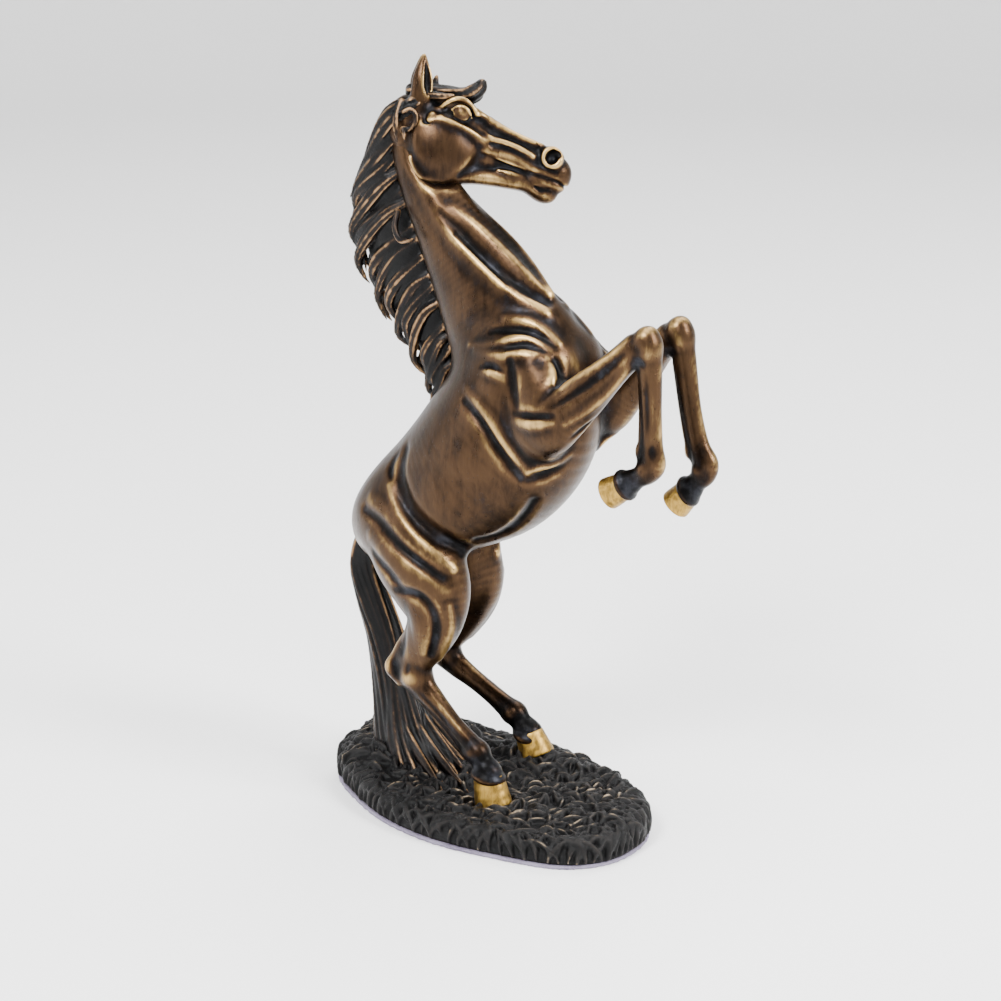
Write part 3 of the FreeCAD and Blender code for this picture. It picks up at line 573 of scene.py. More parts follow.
        # ear: a leaf rolled round a deep hollow that faces forward and out
        back = 0.0 if s < 0 else 2.0
        tube(clay, [(2.6 - back, s * 4, 0, 3, 4), (1.6 - back, s * 4.9, 4, 2.9, 3.9),
                    (0.7 - back, s * 5.5, 8, 2.9, 4),
                    (-0.9 - back, s * 5.9, 12.2, 2.6, 3.7), (-2.4 - back, s * 6, 16, 1.7, 2.4),
                    (-3.6 - back, s * 5.9, 19.2, 0.8, 1.1), (-4.2 - back, s * 5.8, 21.2, 0.1, 0.15)], 2.4)
        tube(clay, [(3.6 - back, s * 7, 7.4, 0.4, 0.4), (2.9 - back, s * 7.6, 10.4, 1.5, 1.9),
                    (0.6 - back, s * 7.5, 14.4, 1.2, 1.5), (-1.9 - back, s * 6.9, 18, 0.4, 0.5)], 0.5,
                    cut=True)


def forelock_forms(clay):
    """Hair between the ears, blown forward into a curl over the brow."""
    strands = (5, 0.13, 0.4)
    tube(clay, [(-3, 0, 6.4, 4.4, 2.6), (2, 0, 8.4, 4.6, 3), (7, 0.4, 10, 4, 3), (11, 1, 11.4, 3, 2.6)],
         0.5, strands=strands)
    tube(clay, [(5, -1.2, 10, 2.6, 2.4), (9.6, -1.4, 11.4, 3, 2.5), (13.6, -0.6, 12.8, 3.2, 2.4),
                (16.6, 0.8, 14.8, 3.6, 2.8),
                (18.6, 2, 17.4, 3.3, 2.6), (18.8, 2.6, 19.6, 2.4, 1.9)], 0.4, strands=strands)
    tube(clay, [(9, 1, 10.6, 2.6, 2.2), (13.6, 1.6, 11.4, 2.8, 2.3), (17, 2.4, 12.6, 2.4, 2),
                (19.6, 2.8, 14.8, 1.7, 1.5),
                (20.2, 3, 17, 0.7, 0.7)], 0.4, strands=strands)
    tube(clay, [(2, -4, 7, 1.7, 1.5), (6, -6, 8.2, 1.8, 1.5), (9.6, -6.8, 9.4, 1.5, 1.3),
                (12.4, -6.4, 11.4, 0.5, 0.5)],
         0.4, strands=strands)
    tube(clay, [(2.6, 1, 8, 1.9, 1.9), (3.2, 1.4, 11.6, 1.5, 1.6), (2.8, 1.6, 14.4, 0.9, 1),
                (2.4, 1.8, 16.2, 0.2, 0.2)], 0.4)


# ---------------------------------------------------------------- mane and tail
CREST = [(-33, 266), (-40, 257), (-41.5, 243), (-38, 227), (-33, 212), (-27, 198), (-21.5, 184), (-19, 172),
         (-22, 160)]
MANE_EDGE = [(-37, 267.4), (-45, 260.5), (-52, 248), (-59.6, 235), (-62.8, 221), (-61.4, 208),
             (-54.6, 195.6), (-46, 184.6),
             (-37, 175), (-30, 165), (-26, 157)]
TAIL = [(-52, 0, 104), (-58.6, 0, 97), (-61.6, 0, 86), (-58, 0, 74), (-51.6, -0.5, 60), (-46.8, -1.5, 46),
        (-43.6, -2.5, 33),
        (-40, -4, 20), (-31, -8, 7)]


def along(path, t):
    """The point a share t of the way along a path of even steps."""
    p = spline(path, 8)
    f = np.clip(t, 0, 1) * (len(p) - 1)
    i = min(int(f), len(p) - 2)
    return p[i] + (p[i + 1] - p[i]) * (f - i)


# a lock, root to tip: step along the crest, share of the way out, how much a longer tip adds,
# reach sideways, half width, half depth
LOCK = [
    (0.0, 0.0, 0, 0.5, 1.5, 2.2), (0.05, 0.34, 0, 1.1, 2.1, 3.2), (0.10, 0.66, 0, 1.15, 2.2, 3.4),
    (0.15, 0.93, 0, 0.9, 1.7, 2.4), (0.2, 0.97, 1, 0.7, 1, 1.3), (0.24, 1, 2, 0.5, 0.2, 0.25)]


def mane_forms(clay):
    """A core along the crest, then overlapping wavy locks blown back and down to free tips."""
    core = []
    for t in np.linspace(0.0, 0.97, 9):
        inner, outer = along(CREST, t), along(MANE_EDGE, t)
        middle = inner + (outer - inner) * 0.42
        core.append((middle[0], 0.6, middle[1], 5.6 - 3.4 * t**3,
                     max(np.linalg.norm(outer - inner) * 0.5 - 1.5, 2)))
    tube(clay, core, 1)
    for side, number in ((-1, 19), (1, 19), (0, 15)):
        for i in range(number):
            t = (i + 0.25 * RNG.uniform(-1, 1)) / number
            out = side * (5.2 - 2.6 * t) + RNG.uniform(-0.8, 0.8)
            size = (1.0 - 0.45 * t) * RNG.uniform(0.85, 1.15)
            wave = RNG.uniform(1.2, 2.8) * (1 if i % 2 else -1)
            tip = RNG.uniform(-0.04, 0.11)
            rows = []
            for step, share, longer, near, wide, deep in LOCK:
                inner, outer = along(CREST, t + step * 0.8), along(MANE_EDGE, t + step)
                spot = inner + (outer - inner) * (share + longer * tip)
                sway = wave * math.sin(step * 28)
                rows.append((spot[0] + sway * 0.5, 0.6 + out * near, spot[1] + sway, wide * size,
                             deep * size))
            tube(clay, rows, 0.5, per_span=4, strands=(int(RNG.integers(5, 9)), 0.12, 0.35 * (side or 1)))
    # a curl lying over the neck, wisps at the withers and a ringlet behind the cheek
    tube(clay, [(-38, -8, 226, 1, 1.2), (-37.5, -10.4, 220.6, 1, 1.2), (-34.4, -11.6, 216.4, 1, 1.1),
                (-30.4, -12, 216.6, 0.8, 0.9), (-27.6, -12.2, 217.8, 0.2, 0.2)], 0.5, strands=(3, 0.16, 0.5))
    for x, z, drop in ((-33, 172, 7), (-29, 166, 9), (-25, 163, 10)):
        tube(clay, [(x + 3, 0, z + 5, 1.6, 2), (x + 1, -0.6, z, 1.4, 1.7),
                    (x - 0.6, -1, z - drop * 0.6, 0.8, 1),
                    (x, -1, z - drop, 0.15, 0.15)], 0.5, strands=(3, 0.16, 0.4))
    ringlet = [(0.8 + 3 * math.cos(a), -8.6 - 0.5 * math.sin(a), -4 + 3.8 * math.sin(a), 0.8, 1)
               for a in np.radians([150, 100, 50, 0, -50, -95])]
    ringlet += [(2, -8.8, -9.4, 0.6, 0.8), (3.6, -8.8, -12, 0.2, 0.2)]
    tube(clay, [(*from_head(row[:3]), *row[3:]) for row in ringlet], 0.4, strands=(3, 0.16, 0.5))
    wisp = [((-4, -7.4, 1), 1.2), ((-3.4, -8.6, -4), 1.2), ((-1.4, -9, -9), 0.9), ((1, -8.8, -13), 0.2)]
    tube(clay, [(*from_head(p), r, r) for p, r in wisp], 0.5, strands=(3, 0.16, 0.5))


def tail_forms(clay):
    """Long strands that hang from the dock to the mound, then sweep forward along the ground."""
    tube(clay, [(*p, w, d) for p, w, d in zip(TAIL, (4, 4.6, 5, 5, 5.4, 6, 7, 8.4, 6),
                                              (4, 5, 5.6, 5.6, 6, 6.4, 7.4, 8, 5))], 1)
    for i in range(22):
        a = 2 * math.pi * i / 22 + RNG.uniform(-0.15, 0.15)
        side, depth = math.sin(a), math.cos(a)
        rows = []
        for k, (x, y, z) in enumerate(TAIL):
            t = k / (len(TAIL) - 1)
            spread = 2.6 + 3.4 * t + 4.5 * t**4
            sway = 1.1 * math.sin(5 * t + i)
            rows.append((x + depth * spread * 0.9 + sway, y + side * spread + sway * 0.6,
                         z + depth * spread * 0.3,
                         1.7 + 0.5 * t, 1.9 + 0.9 * t))
        tube(clay, rows, 0.4, per_span=3, strands=(4, 0.17, 0.3))
    # locks that leave the tail low down and sweep forward over the mound
    for i in range(18):
        y = -13 + 1.5 * i + RNG.uniform(-0.6, 0.6)
        reach = RNG.uniform(20, 46) - 0.9 * abs(y + 6)
        turn = -0.30 * reach * (1 if y < 4 else 0.2)
        rows = []
        for t, rise, size in ((0, 22, 1.6), (0.2, 11, 1.8), (0.42, 5.4, 1.9), (0.66, 2.4, 1.6),
                              (0.86, 0.8, 1.0), (1, -0.6, 0.3)):
            x = -47 + (reach + 6) * t
            across = y * (0.55 + 0.45 * t) + turn * t * t
            rows.append((x, across, height_at(x, across) + rise, 0.75 * size, 1.25 * size))
        tube(clay, rows, 0.5, per_span=4, strands=(4, 0.12, 0.4))


# ---------------------------------------------------------------- surfaces
class Skin:
    """Triangles with a normal, a height (positive on ridges) and a fine grain at every vertex."""

    def __init__(self, v, t, wide=3.0, fine=0.9):
        self.v, self.t = v, t
        a, b, c = v[t[:, 0]], v[t[:, 1]], v[t[:, 2]]
        face = np.cross(b - a, c - a)
        n = np.zeros_like(v)
        for k in range(3):
            for axis in range(3):
                n[:, axis] += np.bincount(t[:, k], face[:, axis], len(v))
        self.n = n / (np.linalg.norm(n, axis=1)[:, None] + 1e-9)
        pairs = np.vstack([t[:, [0, 1]], t[:, [1, 2]], t[:, [2, 0]]])
        edge = np.linalg.norm(v[pairs[:, 0]] - v[pairs[:, 1]], axis=1).mean()
        share = 1 / np.maximum(np.bincount(pairs[:, 0], None, len(v)), 1)

        def relaxed(p, passes):
            for _ in range(passes):
                p = np.stack([np.bincount(pairs[:, 0], p[pairs[:, 1], axis],
                                          len(v)) * share for axis in range(3)], 1)
            return p
        near = relaxed(v, max(int((fine / edge) ** 2), 2))
        far = relaxed(near, int((wide / edge) ** 2))
        self.grain = ((v - near) * self.n).sum(1) / fine
        self.height = ((near - far) * self.n).sum(1) / wide
        # a slender limb stands out all over: take away what its neighbourhood has in common
        common = self.height.copy()
        for _ in range(int((1.8 * wide / edge) ** 2)):
            common = np.bincount(pairs[:, 0], common[pairs[:, 1]], len(v)) * share
        self.height -= EVEN_OUT * common

    def parts(self):
        return self.v, self.n, self.height, self.grain, self.t


def slice_skin(bundle, s):
    """Keep the part of a surface where s is negative; returns the open surface and its cut edges."""
    v, n, height, grain, t = bundle
    inside = s[t] < 0
    count = inside.sum(1)
    keep = t[count == 3]
    data = np.hstack([v, n, height[:, None], grain[:, None]])
    made, new, index = {}, [], len(v)

    def crossing(i, j):
        nonlocal index
        key = (i, j) if i < j else (j, i)
        if key not in made:
            a, b = key
            f = s[a] / (s[a] - s[b])
            new.append(data[a] + (data[b] - data[a]) * f)
            made[key] = index
            index += 1
        return made[key]
    extra, rim = [], []
    for tri, flags in zip(t[(count == 1) | (count == 2)], inside[(count == 1) | (count == 2)]):
        if flags.sum() == 1:
            k = int(np.argmax(flags))
            a, b, c = tri[k], tri[(k + 1) % 3], tri[(k + 2) % 3]
            ab, ac = crossing(a, b), crossing(a, c)
            extra.append((a, ab, ac))
            rim.append((ab, ac))
        else:
            k = int(np.argmin(flags))
            a, b, c = tri[k], tri[(k + 1) % 3], tri[(k + 2) % 3]
            ab, ac = crossing(a, b), crossing(a, c)
            extra.append((ab, b, c))
            extra.append((ab, c, ac))
            rim.append((ac, ab))
    if new:
        data = np.vstack([data, np.array(new)])
        keep = np.vstack([keep, np.array(extra, int)])
    used = np.unique(keep)
    back = np.full(len(data), -1)
    back[used] = np.arange(len(used))
    data = data[used]
    keep = back[keep]
    rim = [(back[a], back[b]) for a, b in rim]
    return (data[:, :3], data[:, 3:6], data[:, 6], data[:, 7], keep), rim


def cap(bundle, rim):
    """Close a sliced surface: every cut loop gets a fan of triangles to its middle."""
    v, n, height, grain, t = bundle
    after = dict(rim)
    seen, fans, centres = set(), [], []
    for start in after:
        if start in seen:
            continue
        loop, i = [], start
        while i in after and i not in seen:
            seen.add(i)
            loop.append(i)
            i = after[i]
        if len(loop) < 3:
            continue
        centre = len(v) + len(centres)
        centres.append(v[loop].mean(0))
        fans += [(b, a, centre) for a, b in zip(loop, loop[1:] + loop[:1])]
    if not centres:
        return bundle
    more = len(centres)
    return (np.vstack([v, centres]), np.vstack([n, np.tile([0, 0, 1.0], (more, 1))]),
            np.concatenate([height, np.full(more, -0.3)]), np.concatenate([grain, np.zeros(more)]),
            np.vstack([t, np.array(fans, int)]))


def build(name, bundle, material, replaces):
    """A mesh object in metres with its attributes, material and smooth normals."""
    v, n, height, grain, t = bundle
    mesh = bpy.data.meshes.new(name)
    mesh.vertices.add(len(v))
    mesh.vertices.foreach_set("co", (v * MM).astype(np.float32).ravel())
    mesh.loops.add(t.size)
    mesh.loops.foreach_set("vertex_index", t.astype(np.int32).ravel())
    mesh.polygons.add(len(t))
    mesh.polygons.foreach_set("loop_start", np.arange(0, t.size, 3, dtype=np.int32))
    mesh.update(calc_edges=True)
    for title, values in (("height", height), ("grain", grain)):
        mesh.attributes.new(title, "FLOAT", "POINT").data.foreach_set("value", values.astype(np.float32))
    mesh.polygons.foreach_set("use_smooth", np.ones(len(t), bool))
    mesh.normals_split_custom_set_from_vertices(n.astype(np.float32).tolist())
    piece = bpy.data.objects.new(name, mesh)
    bpy.context.scene.collection.objects.link(piece)
    mesh.materials.append(material)
    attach(piece, "root")
    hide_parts(replaces)
    return piece


# ---------------------------------------------------------------- base: a low mound of curled leaves
FOOT_OUTLINE = [
    (-73, 4), (-66, -15), (-45, -31), (-22, -43), (4, -49), (30, -48), (57.5, -42.5), (71, -28),
    (72.5, -8), (65.5, 10), (52, 22), (29, 34), (4, 41), (-22, 45), (-50, 45), (-70, 33), (-77, 19)]
GROUND = 9.2
# x, y, reach along x, reach across, rise
MOUNDS = [(-45, 2, 27, 30, 10.5), (2, 24, 20, 15, 5.2), (-58, 26, 18, 18, 5), (40, -4, 26, 22, 1.6),
          (60, -10, 16, 24, 1.8),
          (36, 22, 30, 9, 2.4)]


def foot_loop(per_span=6):
    """The foot outline as a smooth closed loop."""
    around = FOOT_OUTLINE[-1:] + FOOT_OUTLINE + FOOT_OUTLINE[:2]
    return spline(around, per_span)[per_span:-2 * per_span]


def ground(x, y):
    """The height of the mound's skin."""
    z = GROUND + 0.0 * x
    for cx, cy, rx, ry, rise in MOUNDS:
        z = z + rise * np.exp(-1.6 * (((x - cx) / rx) ** 2 + ((y - cy) / ry) ** 2))
    return z


def outside(x, y, loop):
    """How far level points lie outside the loop; negative inside."""
    best = np.full(np.broadcast(x, y).shape, 1e9)
    inner = np.zeros(best.shape, bool)
    for a, b in zip(loop, np.roll(loop, -1, 0)):
        e = b - a
        t = np.clip(((x - a[0]) * e[0] + (y - a[1]) * e[1]) / (e @ e), 0, 1)
        best = np.minimum(best, (x - a[0] - t * e[0]) ** 2 + (y - a[1] - t * e[1]) ** 2)
        if a[1] != b[1]:
            inner ^= ((a[1] > y) != (b[1] > y)) & (x < a[0] + (y - a[1]) * e[0] / e[1])
    return np.sqrt(best) * np.where(inner, -1, 1)


# a leaf on the rim, from foot to tip: share of its height, reach inward, swing sideways, girth
RIM_LEAF = [(0, 0, 0, 0.6), (0.35, 0.3, 0.12, 1), (0.7, 1.1, 0.5, 1), (0.93, 2.4, 1, 0.85),
            (0.95, 3.6, 1.7, 0.3)]
TOP_LEAVES = 620


def height_at(x, y):
    """The mound's height at one point."""
    return float(ground(np.array(x), np.array(y)))


def base_forms(clay, felt_top):
    """The mound, leaves climbing its rim, leaves lying on top and a few tufts."""
    loop = foot_loop()
    part, gx, gy, gz = clay.window((-200, -200, 0), (200, 200, 200))
    edge = outside(gx[:, :, 0], gy[:, :, 0], loop)[:, :, None]
    top = ground(gx, gy)
    round_over = 4.0
    side = edge + 2.2 + 0.10 * (gz - felt_top) + round_over
    lid = gz - top + round_over
    corner = np.sqrt(np.maximum(side, 0) ** 2 + np.maximum(lid, 0) ** 2)
    d = corner + np.minimum(np.maximum(side, lid), 0) - round_over
    clay.add(part, d.astype(np.float32), 0)
    step = np.roll(loop, -1, 0) - loop
    away = np.stack([step[:, 1], -step[:, 0]], 1) / np.linalg.norm(step, axis=1)[:, None]
    # leaves that climb the rim and curl over it
    rings = ((felt_top + 1.2, 5.0, 120), (felt_top + 4, 8.5, 110), (felt_top + 6.5, 12.0, 80))
    for ring, (start, reach, count) in enumerate(rings):
        for i in range(count):
            k = int((i + RNG.uniform(-0.3, 0.3)) * len(loop) / count) % len(loop)
            foot = loop[k] - away[k] * (2.2 + 0.7 * ring)
            way = np.array([-away[k][1], away[k][0]]) * RNG.choice((-1, 1, 1))
            wide = RNG.uniform(0.6, 1.25)
            curl = RNG.uniform(2, 8)
            rows = []
            for rise, inward, swing, girth in RIM_LEAF:
                x, y = foot - away[k] * inward * reach / 5 + way * swing * curl
                climb = height_at(x, y) + 0.2 - start
                rows.append((x, y, start + climb * rise, wide * girth, (1.3 + wide) * girth))
            tube(clay, rows, 0.7, side=(*way, 0), per_span=3)
    # leaves and ridges lying on top, sweeping round the mound
    placed = 0
    while placed < TOP_LEAVES:
        x, y = RNG.uniform(-76, 70), RNG.uniform(-48, 46)
        if outside(np.array(x), np.array(y), loop) > -9:
            continue
        placed += 1
        heading = math.atan2(y, x * 0.7) + math.pi / 2 + RNG.normal(0, 0.8)
        bend = RNG.choice((-1, 1)) * RNG.uniform(0.12, 0.5)
        stride = RNG.uniform(1.3, 3.0)
        wide = RNG.uniform(0.4, 1.1)
        flank = (-math.sin(heading + 2.5 * bend), math.cos(heading + 2.5 * bend), 0)
        rows = []
        for t in range(6):
            arch = math.sin(math.pi * t / 5)
            girth = wide * (0.25 + arch)
            rows.append((x, y, height_at(x, y) - 0.5 + 0.3 * arch, girth, 0.5 + 1.7 * arch * (0.6 + wide)))
            x += stride * math.cos(heading)
            y += stride * math.sin(heading)
            heading += bend
        tube(clay, rows, 0.7, side=flank, per_span=2)
    # upright tufts along the left rim and at the foot of the tail
    for i in range(30):
        a = RNG.uniform(math.pi * 0.5, math.pi * 1.15)
        r = RNG.uniform(0.5, 0.85)
        x, y = -6 + 64 * r * math.cos(a), 4 + 38 * r * math.sin(a)
        lean = RNG.uniform(-0.5, 0.5)
        z = height_at(x, y)
        tall = RNG.uniform(2.5, 6)
        wide = RNG.uniform(1.2, 2.2)
        tube(clay, [(x, y, z - 2, wide, wide), (x - 0.6, y + lean, z + tall * 0.45, wide * 1.1, wide * 0.9),
                    (x - 2.4, y + 2 * lean, z + tall, wide * 0.25, wide * 0.25)], 0.8, strands=(4, 0.1, 0.4))
    clay.remove(part, (-0.4 - edge + 0 * gz).astype(np.float32), 1.5)
    clay.remove(part, (gz - felt_top).astype(np.float32), 0)


def hoof_forms(clay, top, bottom, radius_top, radius_bottom):
    """A hoof wall from the coronet to the ground, flared, with a flat sole and faint growth rings."""
    top, bottom = np.asarray(top, float), np.asarray(bottom, float)
    axis = unit(bottom - top)
    rows = []
    for i in range(9):
        t = i / 8
        ripple = 0.05 * math.cos(i * math.pi)
        p = top + (bottom - top) * t
        rows.append((*p, radius_top[0] + (radius_bottom[0] - radius_top[0]) * t + ripple,
                     radius_top[1] + (radius_bottom[1] - radius_top[1]) * t + ripple))
    tube(clay, rows, 0.5, per_span=2)
    part, gx, gy, gz = clay.window(clay.low, clay.low + clay.step * (clay.count - 1))
    reach = (gx - bottom[0]) * axis[0] + (gy - bottom[1]) * axis[1] + (gz - bottom[2]) * axis[2]
    clay.remove(part, (-reach).astype(np.float32), 0.6)
    reach = (gx - top[0]) * axis[0] + (gy - top[1]) * axis[1] + (gz - top[2]) * axis[2]
    clay.remove(part, reach.astype(np.float32), 0.6)


# ---------------------------------------------------------------- finishes
class Finish:
    """A node material being put together."""

    def __init__(self, name):
        self.material = bpy.data.materials.new(name)
        self.material.use_nodes = True
        self.nodes = self.material.node_tree.nodes
        self.links = self.material.node_tree.links
        self.surface = self.nodes["Principled BSDF"]
        self.place = self.nodes.new("ShaderNodeTexCoord").outputs["Object"]

    def put(self, socket, value):
        if isinstance(value, bpy.types.NodeSocket):
            self.links.new(value, socket)
        elif isinstance(value, tuple):
            socket.default_value = (*value, 1)[:len(socket.default_value)]
        else:
            socket.default_value = value

    def attribute(self, name):
        node = self.nodes.new("ShaderNodeAttribute")
        node.attribute_name = name
        return node.outputs["Fac"]

    def noise(self, per_mm, detail=4, rough=0.55, stretch=(1, 1, 1), warp=0.0):
        scaled = self.nodes.new("ShaderNodeVectorMath")
        scaled.operation = "MULTIPLY"
        self.put(scaled.inputs[0], self.place)
        scaled.inputs[1].default_value = [1000 * per_mm * s for s in stretch]
        node = self.nodes.new("ShaderNodeTexNoise")
        self.put(node.inputs["Vector"], scaled.outputs[0])
        node.inputs["Scale"].default_value = 1
        node.inputs["Detail"].default_value = detail
        node.inputs["Roughness"].default_value = rough
        node.inputs["Distortion"].default_value = warp
        return node.outputs["Fac"]

    def math(self, operation, a, b=0.0):
        node = self.nodes.new("ShaderNodeMath")
        node.operation = operation
        self.put(node.inputs[0], a)
        self.put(node.inputs[1], b)
        return node.outputs[0]

    def plus(self, a, b, share):
        """a and a share of b."""
        return self.math("ADD", a, self.math("MULTIPLY", b, share))

    def stir(self, a, noise, share):
        """a moved up and down by a share of a noise."""
        return self.plus(a, self.math("SUBTRACT", noise, 0.5), share)

    def remap(self, value, low, high, to_low=0.0, to_high=1.0):
        """Value from low..high to to_low..to_high, eased and held at the ends."""
        node = self.nodes.new("ShaderNodeMapRange")
        node.interpolation_type = "SMOOTHSTEP"
        for socket, number in zip(node.inputs, (value, low, high, to_low, to_high)):
            self.put(socket, number)
        return node.outputs[0]

    def mix(self, share, a, b):
        node = self.nodes.new("ShaderNodeMix")
        node.data_type = "RGBA"
        self.put(node.inputs["Factor"], share)
        self.put(node.inputs["A"], a)
        self.put(node.inputs["B"], b)
        return node.outputs["Result"]

    def paint(self, colour, rough, metal=0.0):
        self.put(self.surface.inputs["Base Color"], colour)
        self.put(self.surface.inputs["Roughness"], rough)
        self.surface.inputs["Metallic"].default_value = metal

    def bump(self, height, distance, strength):
        node = self.nodes.new("ShaderNodeBump")
        node.inputs["Strength"].default_value = strength
        node.inputs["Distance"].default_value = distance * MM
        self.put(node.inputs["Height"], height)
        self.links.new(node.outputs["Normal"], self.surface.inputs["Normal"])


BLACK_PATINA = (0.0015, 0.0015, 0.0017)
BLUE_PATINA = (0.018, 0.019, 0.024)
BROWN_BRONZE = (0.0095, 0.0046, 0.0023)
WARM_BRONZE = (0.052, 0.0275, 0.0125)
# pale gold for the ridges: the rubbed finish and a painted highlight in one colour
RUBBED_AND_HIGHLIGHT_BRONZE = (0.50, 0.325, 0.12)
GILT = (0.40, 0.245, 0.05)
GILT_SHADE = (0.13, 0.075, 0.015)
GILT_SHINE = (0.95, 0.72, 0.30)
HAIR_BROWN = (0.014, 0.008, 0.005)
# pale bronze for the strands' edges: dry-brushing and a painted highlight in one colour
HAIR_RUB_AND_HIGHLIGHT = (0.26, 0.15, 0.07)
LEAF_BLACK = (0.0015, 0.0015, 0.0016)
LEAF_GREY = (0.009, 0.0075, 0.0068)
# tan for the leaves' highest edges: dry-brushing and a painted highlight in one colour
TAN_RUB_AND_HIGHLIGHT = (0.42, 0.32, 0.21)
FELT_DARK, FELT_LIGHT = (0.10, 0.08, 0.13), (0.27, 0.24, 0.32)
STEEL_DARK, STEEL_LIGHT = (0.32, 0.33, 0.34), (0.56, 0.56, 0.55)


def bronze():
    """Brown bronze with a rubbed finish and a painted highlight on the ridges, black in the hollows, brushed
    along and finely speckled.
    """
    f = Finish("bronze")
    height, grain = f.attribute("height"), f.attribute("grain")
    broad = f.noise(0.035, 3, 0.5)
    streak = f.noise(0.25, 6, 0.7, (1, 0.9, 0.28), 0.6)
    speckle = f.noise(1.7, 3, 0.7)
    scratch = f.noise(0.45, 5, 0.75, (1, 1, 0.5), 0.9)
    relief = f.plus(height, grain, 0.6)
    uneven = f.stir(relief, streak, 0.16)
    uneven = f.stir(uneven, broad, 0.10)
    warm = f.mix(f.remap(uneven, -0.06, 0.07), BROWN_BRONZE, WARM_BRONZE)
    # painted highlight: the ridges get pale gold, partly the rubbed finish and partly the highlight that
    # light would make there
    rub_and_highlight = f.mix(f.remap(uneven, 0.05, 0.20), warm, RUBBED_AND_HIGHLIGHT_BRONZE)
    hollow = f.stir(uneven, scratch, 0.30)
    dark = f.remap(hollow, -0.17, 0.01, 0.98, 0)
    patina = f.mix(f.remap(f.noise(0.12, 4, 0.6), 0.45, 0.7), BLACK_PATINA, BLUE_PATINA)
    base = f.mix(dark, rub_and_highlight, patina)
    pits = f.remap(f.noise(0.9, 2, 0.5), 0.68, 0.74)
    base = f.mix(f.math("MULTIPLY", pits, 0.7), base, BLACK_PATINA)
    rough = f.math("ADD", f.remap(streak, 0.3, 0.7, 0.26, 0.38), f.math("MULTIPLY", dark, 0.1))
    f.paint(base, rough, 0.9)
    fine = f.math("ADD", f.math("MULTIPLY", streak, 0.6), f.math("MULTIPLY", speckle, 0.35))
    f.bump(f.math("SUBTRACT", fine, f.math("MULTIPLY", pits, 0.5)), 0.22, 0.7)
    return f.material


def dark_bronze():
    """Nearly black hair with bronze dry-brushed along the strands' edges, which also stands for a painted
    highlight there.
    """
    f = Finish("dark_bronze")
    height, grain = f.attribute("height"), f.attribute("grain")
    streak = f.noise(0.5, 5, 0.7, (0.5, 1, 0.35), 0.5)
    relief = f.math("ADD", f.math("MULTIPLY", grain, 1.2), height)
    uneven = f.stir(relief, streak, 0.30)
    brown = f.mix(f.remap(uneven, 0.00, 0.22), BLACK_PATINA, HAIR_BROWN)
    # painted highlight: the strands' edges get pale bronze, partly dry-brushing and partly the highlight that
    # light would make there
    base = f.mix(f.remap(uneven, 0.18, 0.44), brown, HAIR_RUB_AND_HIGHLIGHT)
    f.paint(base, f.remap(streak, 0.3, 0.7, 0.34, 0.5), 0.75)
    f.bump(f.math("ADD", streak, f.math("MULTIPLY", f.noise(1.6, 3, 0.6), 0.5)), 0.2, 0.7)
    return f.material


def gilt():
    """Brushed gold paint over bronze, thin and brown at the edges; the brown is also a painted shade, and the
    brightest streaks and ridges are a painted shine.
    """
    f = Finish("gilt")
    streak = f.noise(0.5, 6, 0.75, (1, 1, 0.22), 0.8)
    patch = f.noise(0.22, 3, 0.6)
    shade = f.math("ADD", f.math("MULTIPLY", streak, 0.7), f.math("MULTIPLY", patch, 0.3))
    shade = f.math("ADD", shade, f.math("MULTIPLY", f.attribute("height"), 0.4))
    gold = f.mix(f.remap(shade, 0.36, 0.62), GILT_SHADE, GILT)
    # painted shine: the brightest streaks and the ridges get pale gold
    shine = f.mix(f.remap(shade, 0.62, 0.74), gold, GILT_SHINE)
    f.paint(shine, f.remap(streak, 0.3, 0.7, 0.30, 0.46), 0.9)
    f.bump(streak, 0.18, 0.8)
    return f.material


def base_patina():
    """Black leaves with tan and bronze dry-brushed on the highest edges, which also stands for a painted
    highlight there.
    """
    f = Finish("base_patina")
    height, grain = f.attribute("height"), f.attribute("grain")
    patch = f.noise(0.045, 3, 0.6)
    rub = f.noise(0.8, 5, 0.75)
    relief = f.plus(height, grain, 0.8)
    uneven = f.stir(relief, rub, 0.35)
    uneven = f.stir(uneven, patch, 0.5)
    grey = f.mix(f.remap(uneven, 0.05, 0.40), LEAF_BLACK, LEAF_GREY)
    # painted highlight: the highest leaf edges get tan, partly dry-brushing and partly the highlight that
    # light would make there
    base = f.mix(f.remap(uneven, 0.38, 0.74), grey, TAN_RUB_AND_HIGHLIGHT)
    f.surface.inputs["Specular IOR Level"].default_value = 0.16
    f.paint(base, f.remap(rub, 0.3, 0.7, 0.36, 0.56), 0.1)
    f.bump(f.math("ADD", rub, f.math("MULTIPLY", f.noise(2.2, 3, 0.6), 0.5)), 0.3, 0.8)
    return f.material


def felt():
    """Grey-violet felt with short tangled fibres."""
    f = Finish("felt")
    fibre = f.noise(1.4, 6, 0.8, (1, 1, 1), 1.5)
    patch = f.noise(0.08, 3, 0.5)
    mottle = f.math("ADD", f.math("MULTIPLY", fibre, 0.7), f.math("MULTIPLY", patch, 0.3))
    colour = f.mix(f.remap(mottle, 0.35, 0.65), FELT_DARK, FELT_LIGHT)
    f.paint(colour, f.remap(fibre, 0.2, 0.8, 0.85, 1.0))
    f.bump(fibre, 0.3, 1.0)
    return f.material


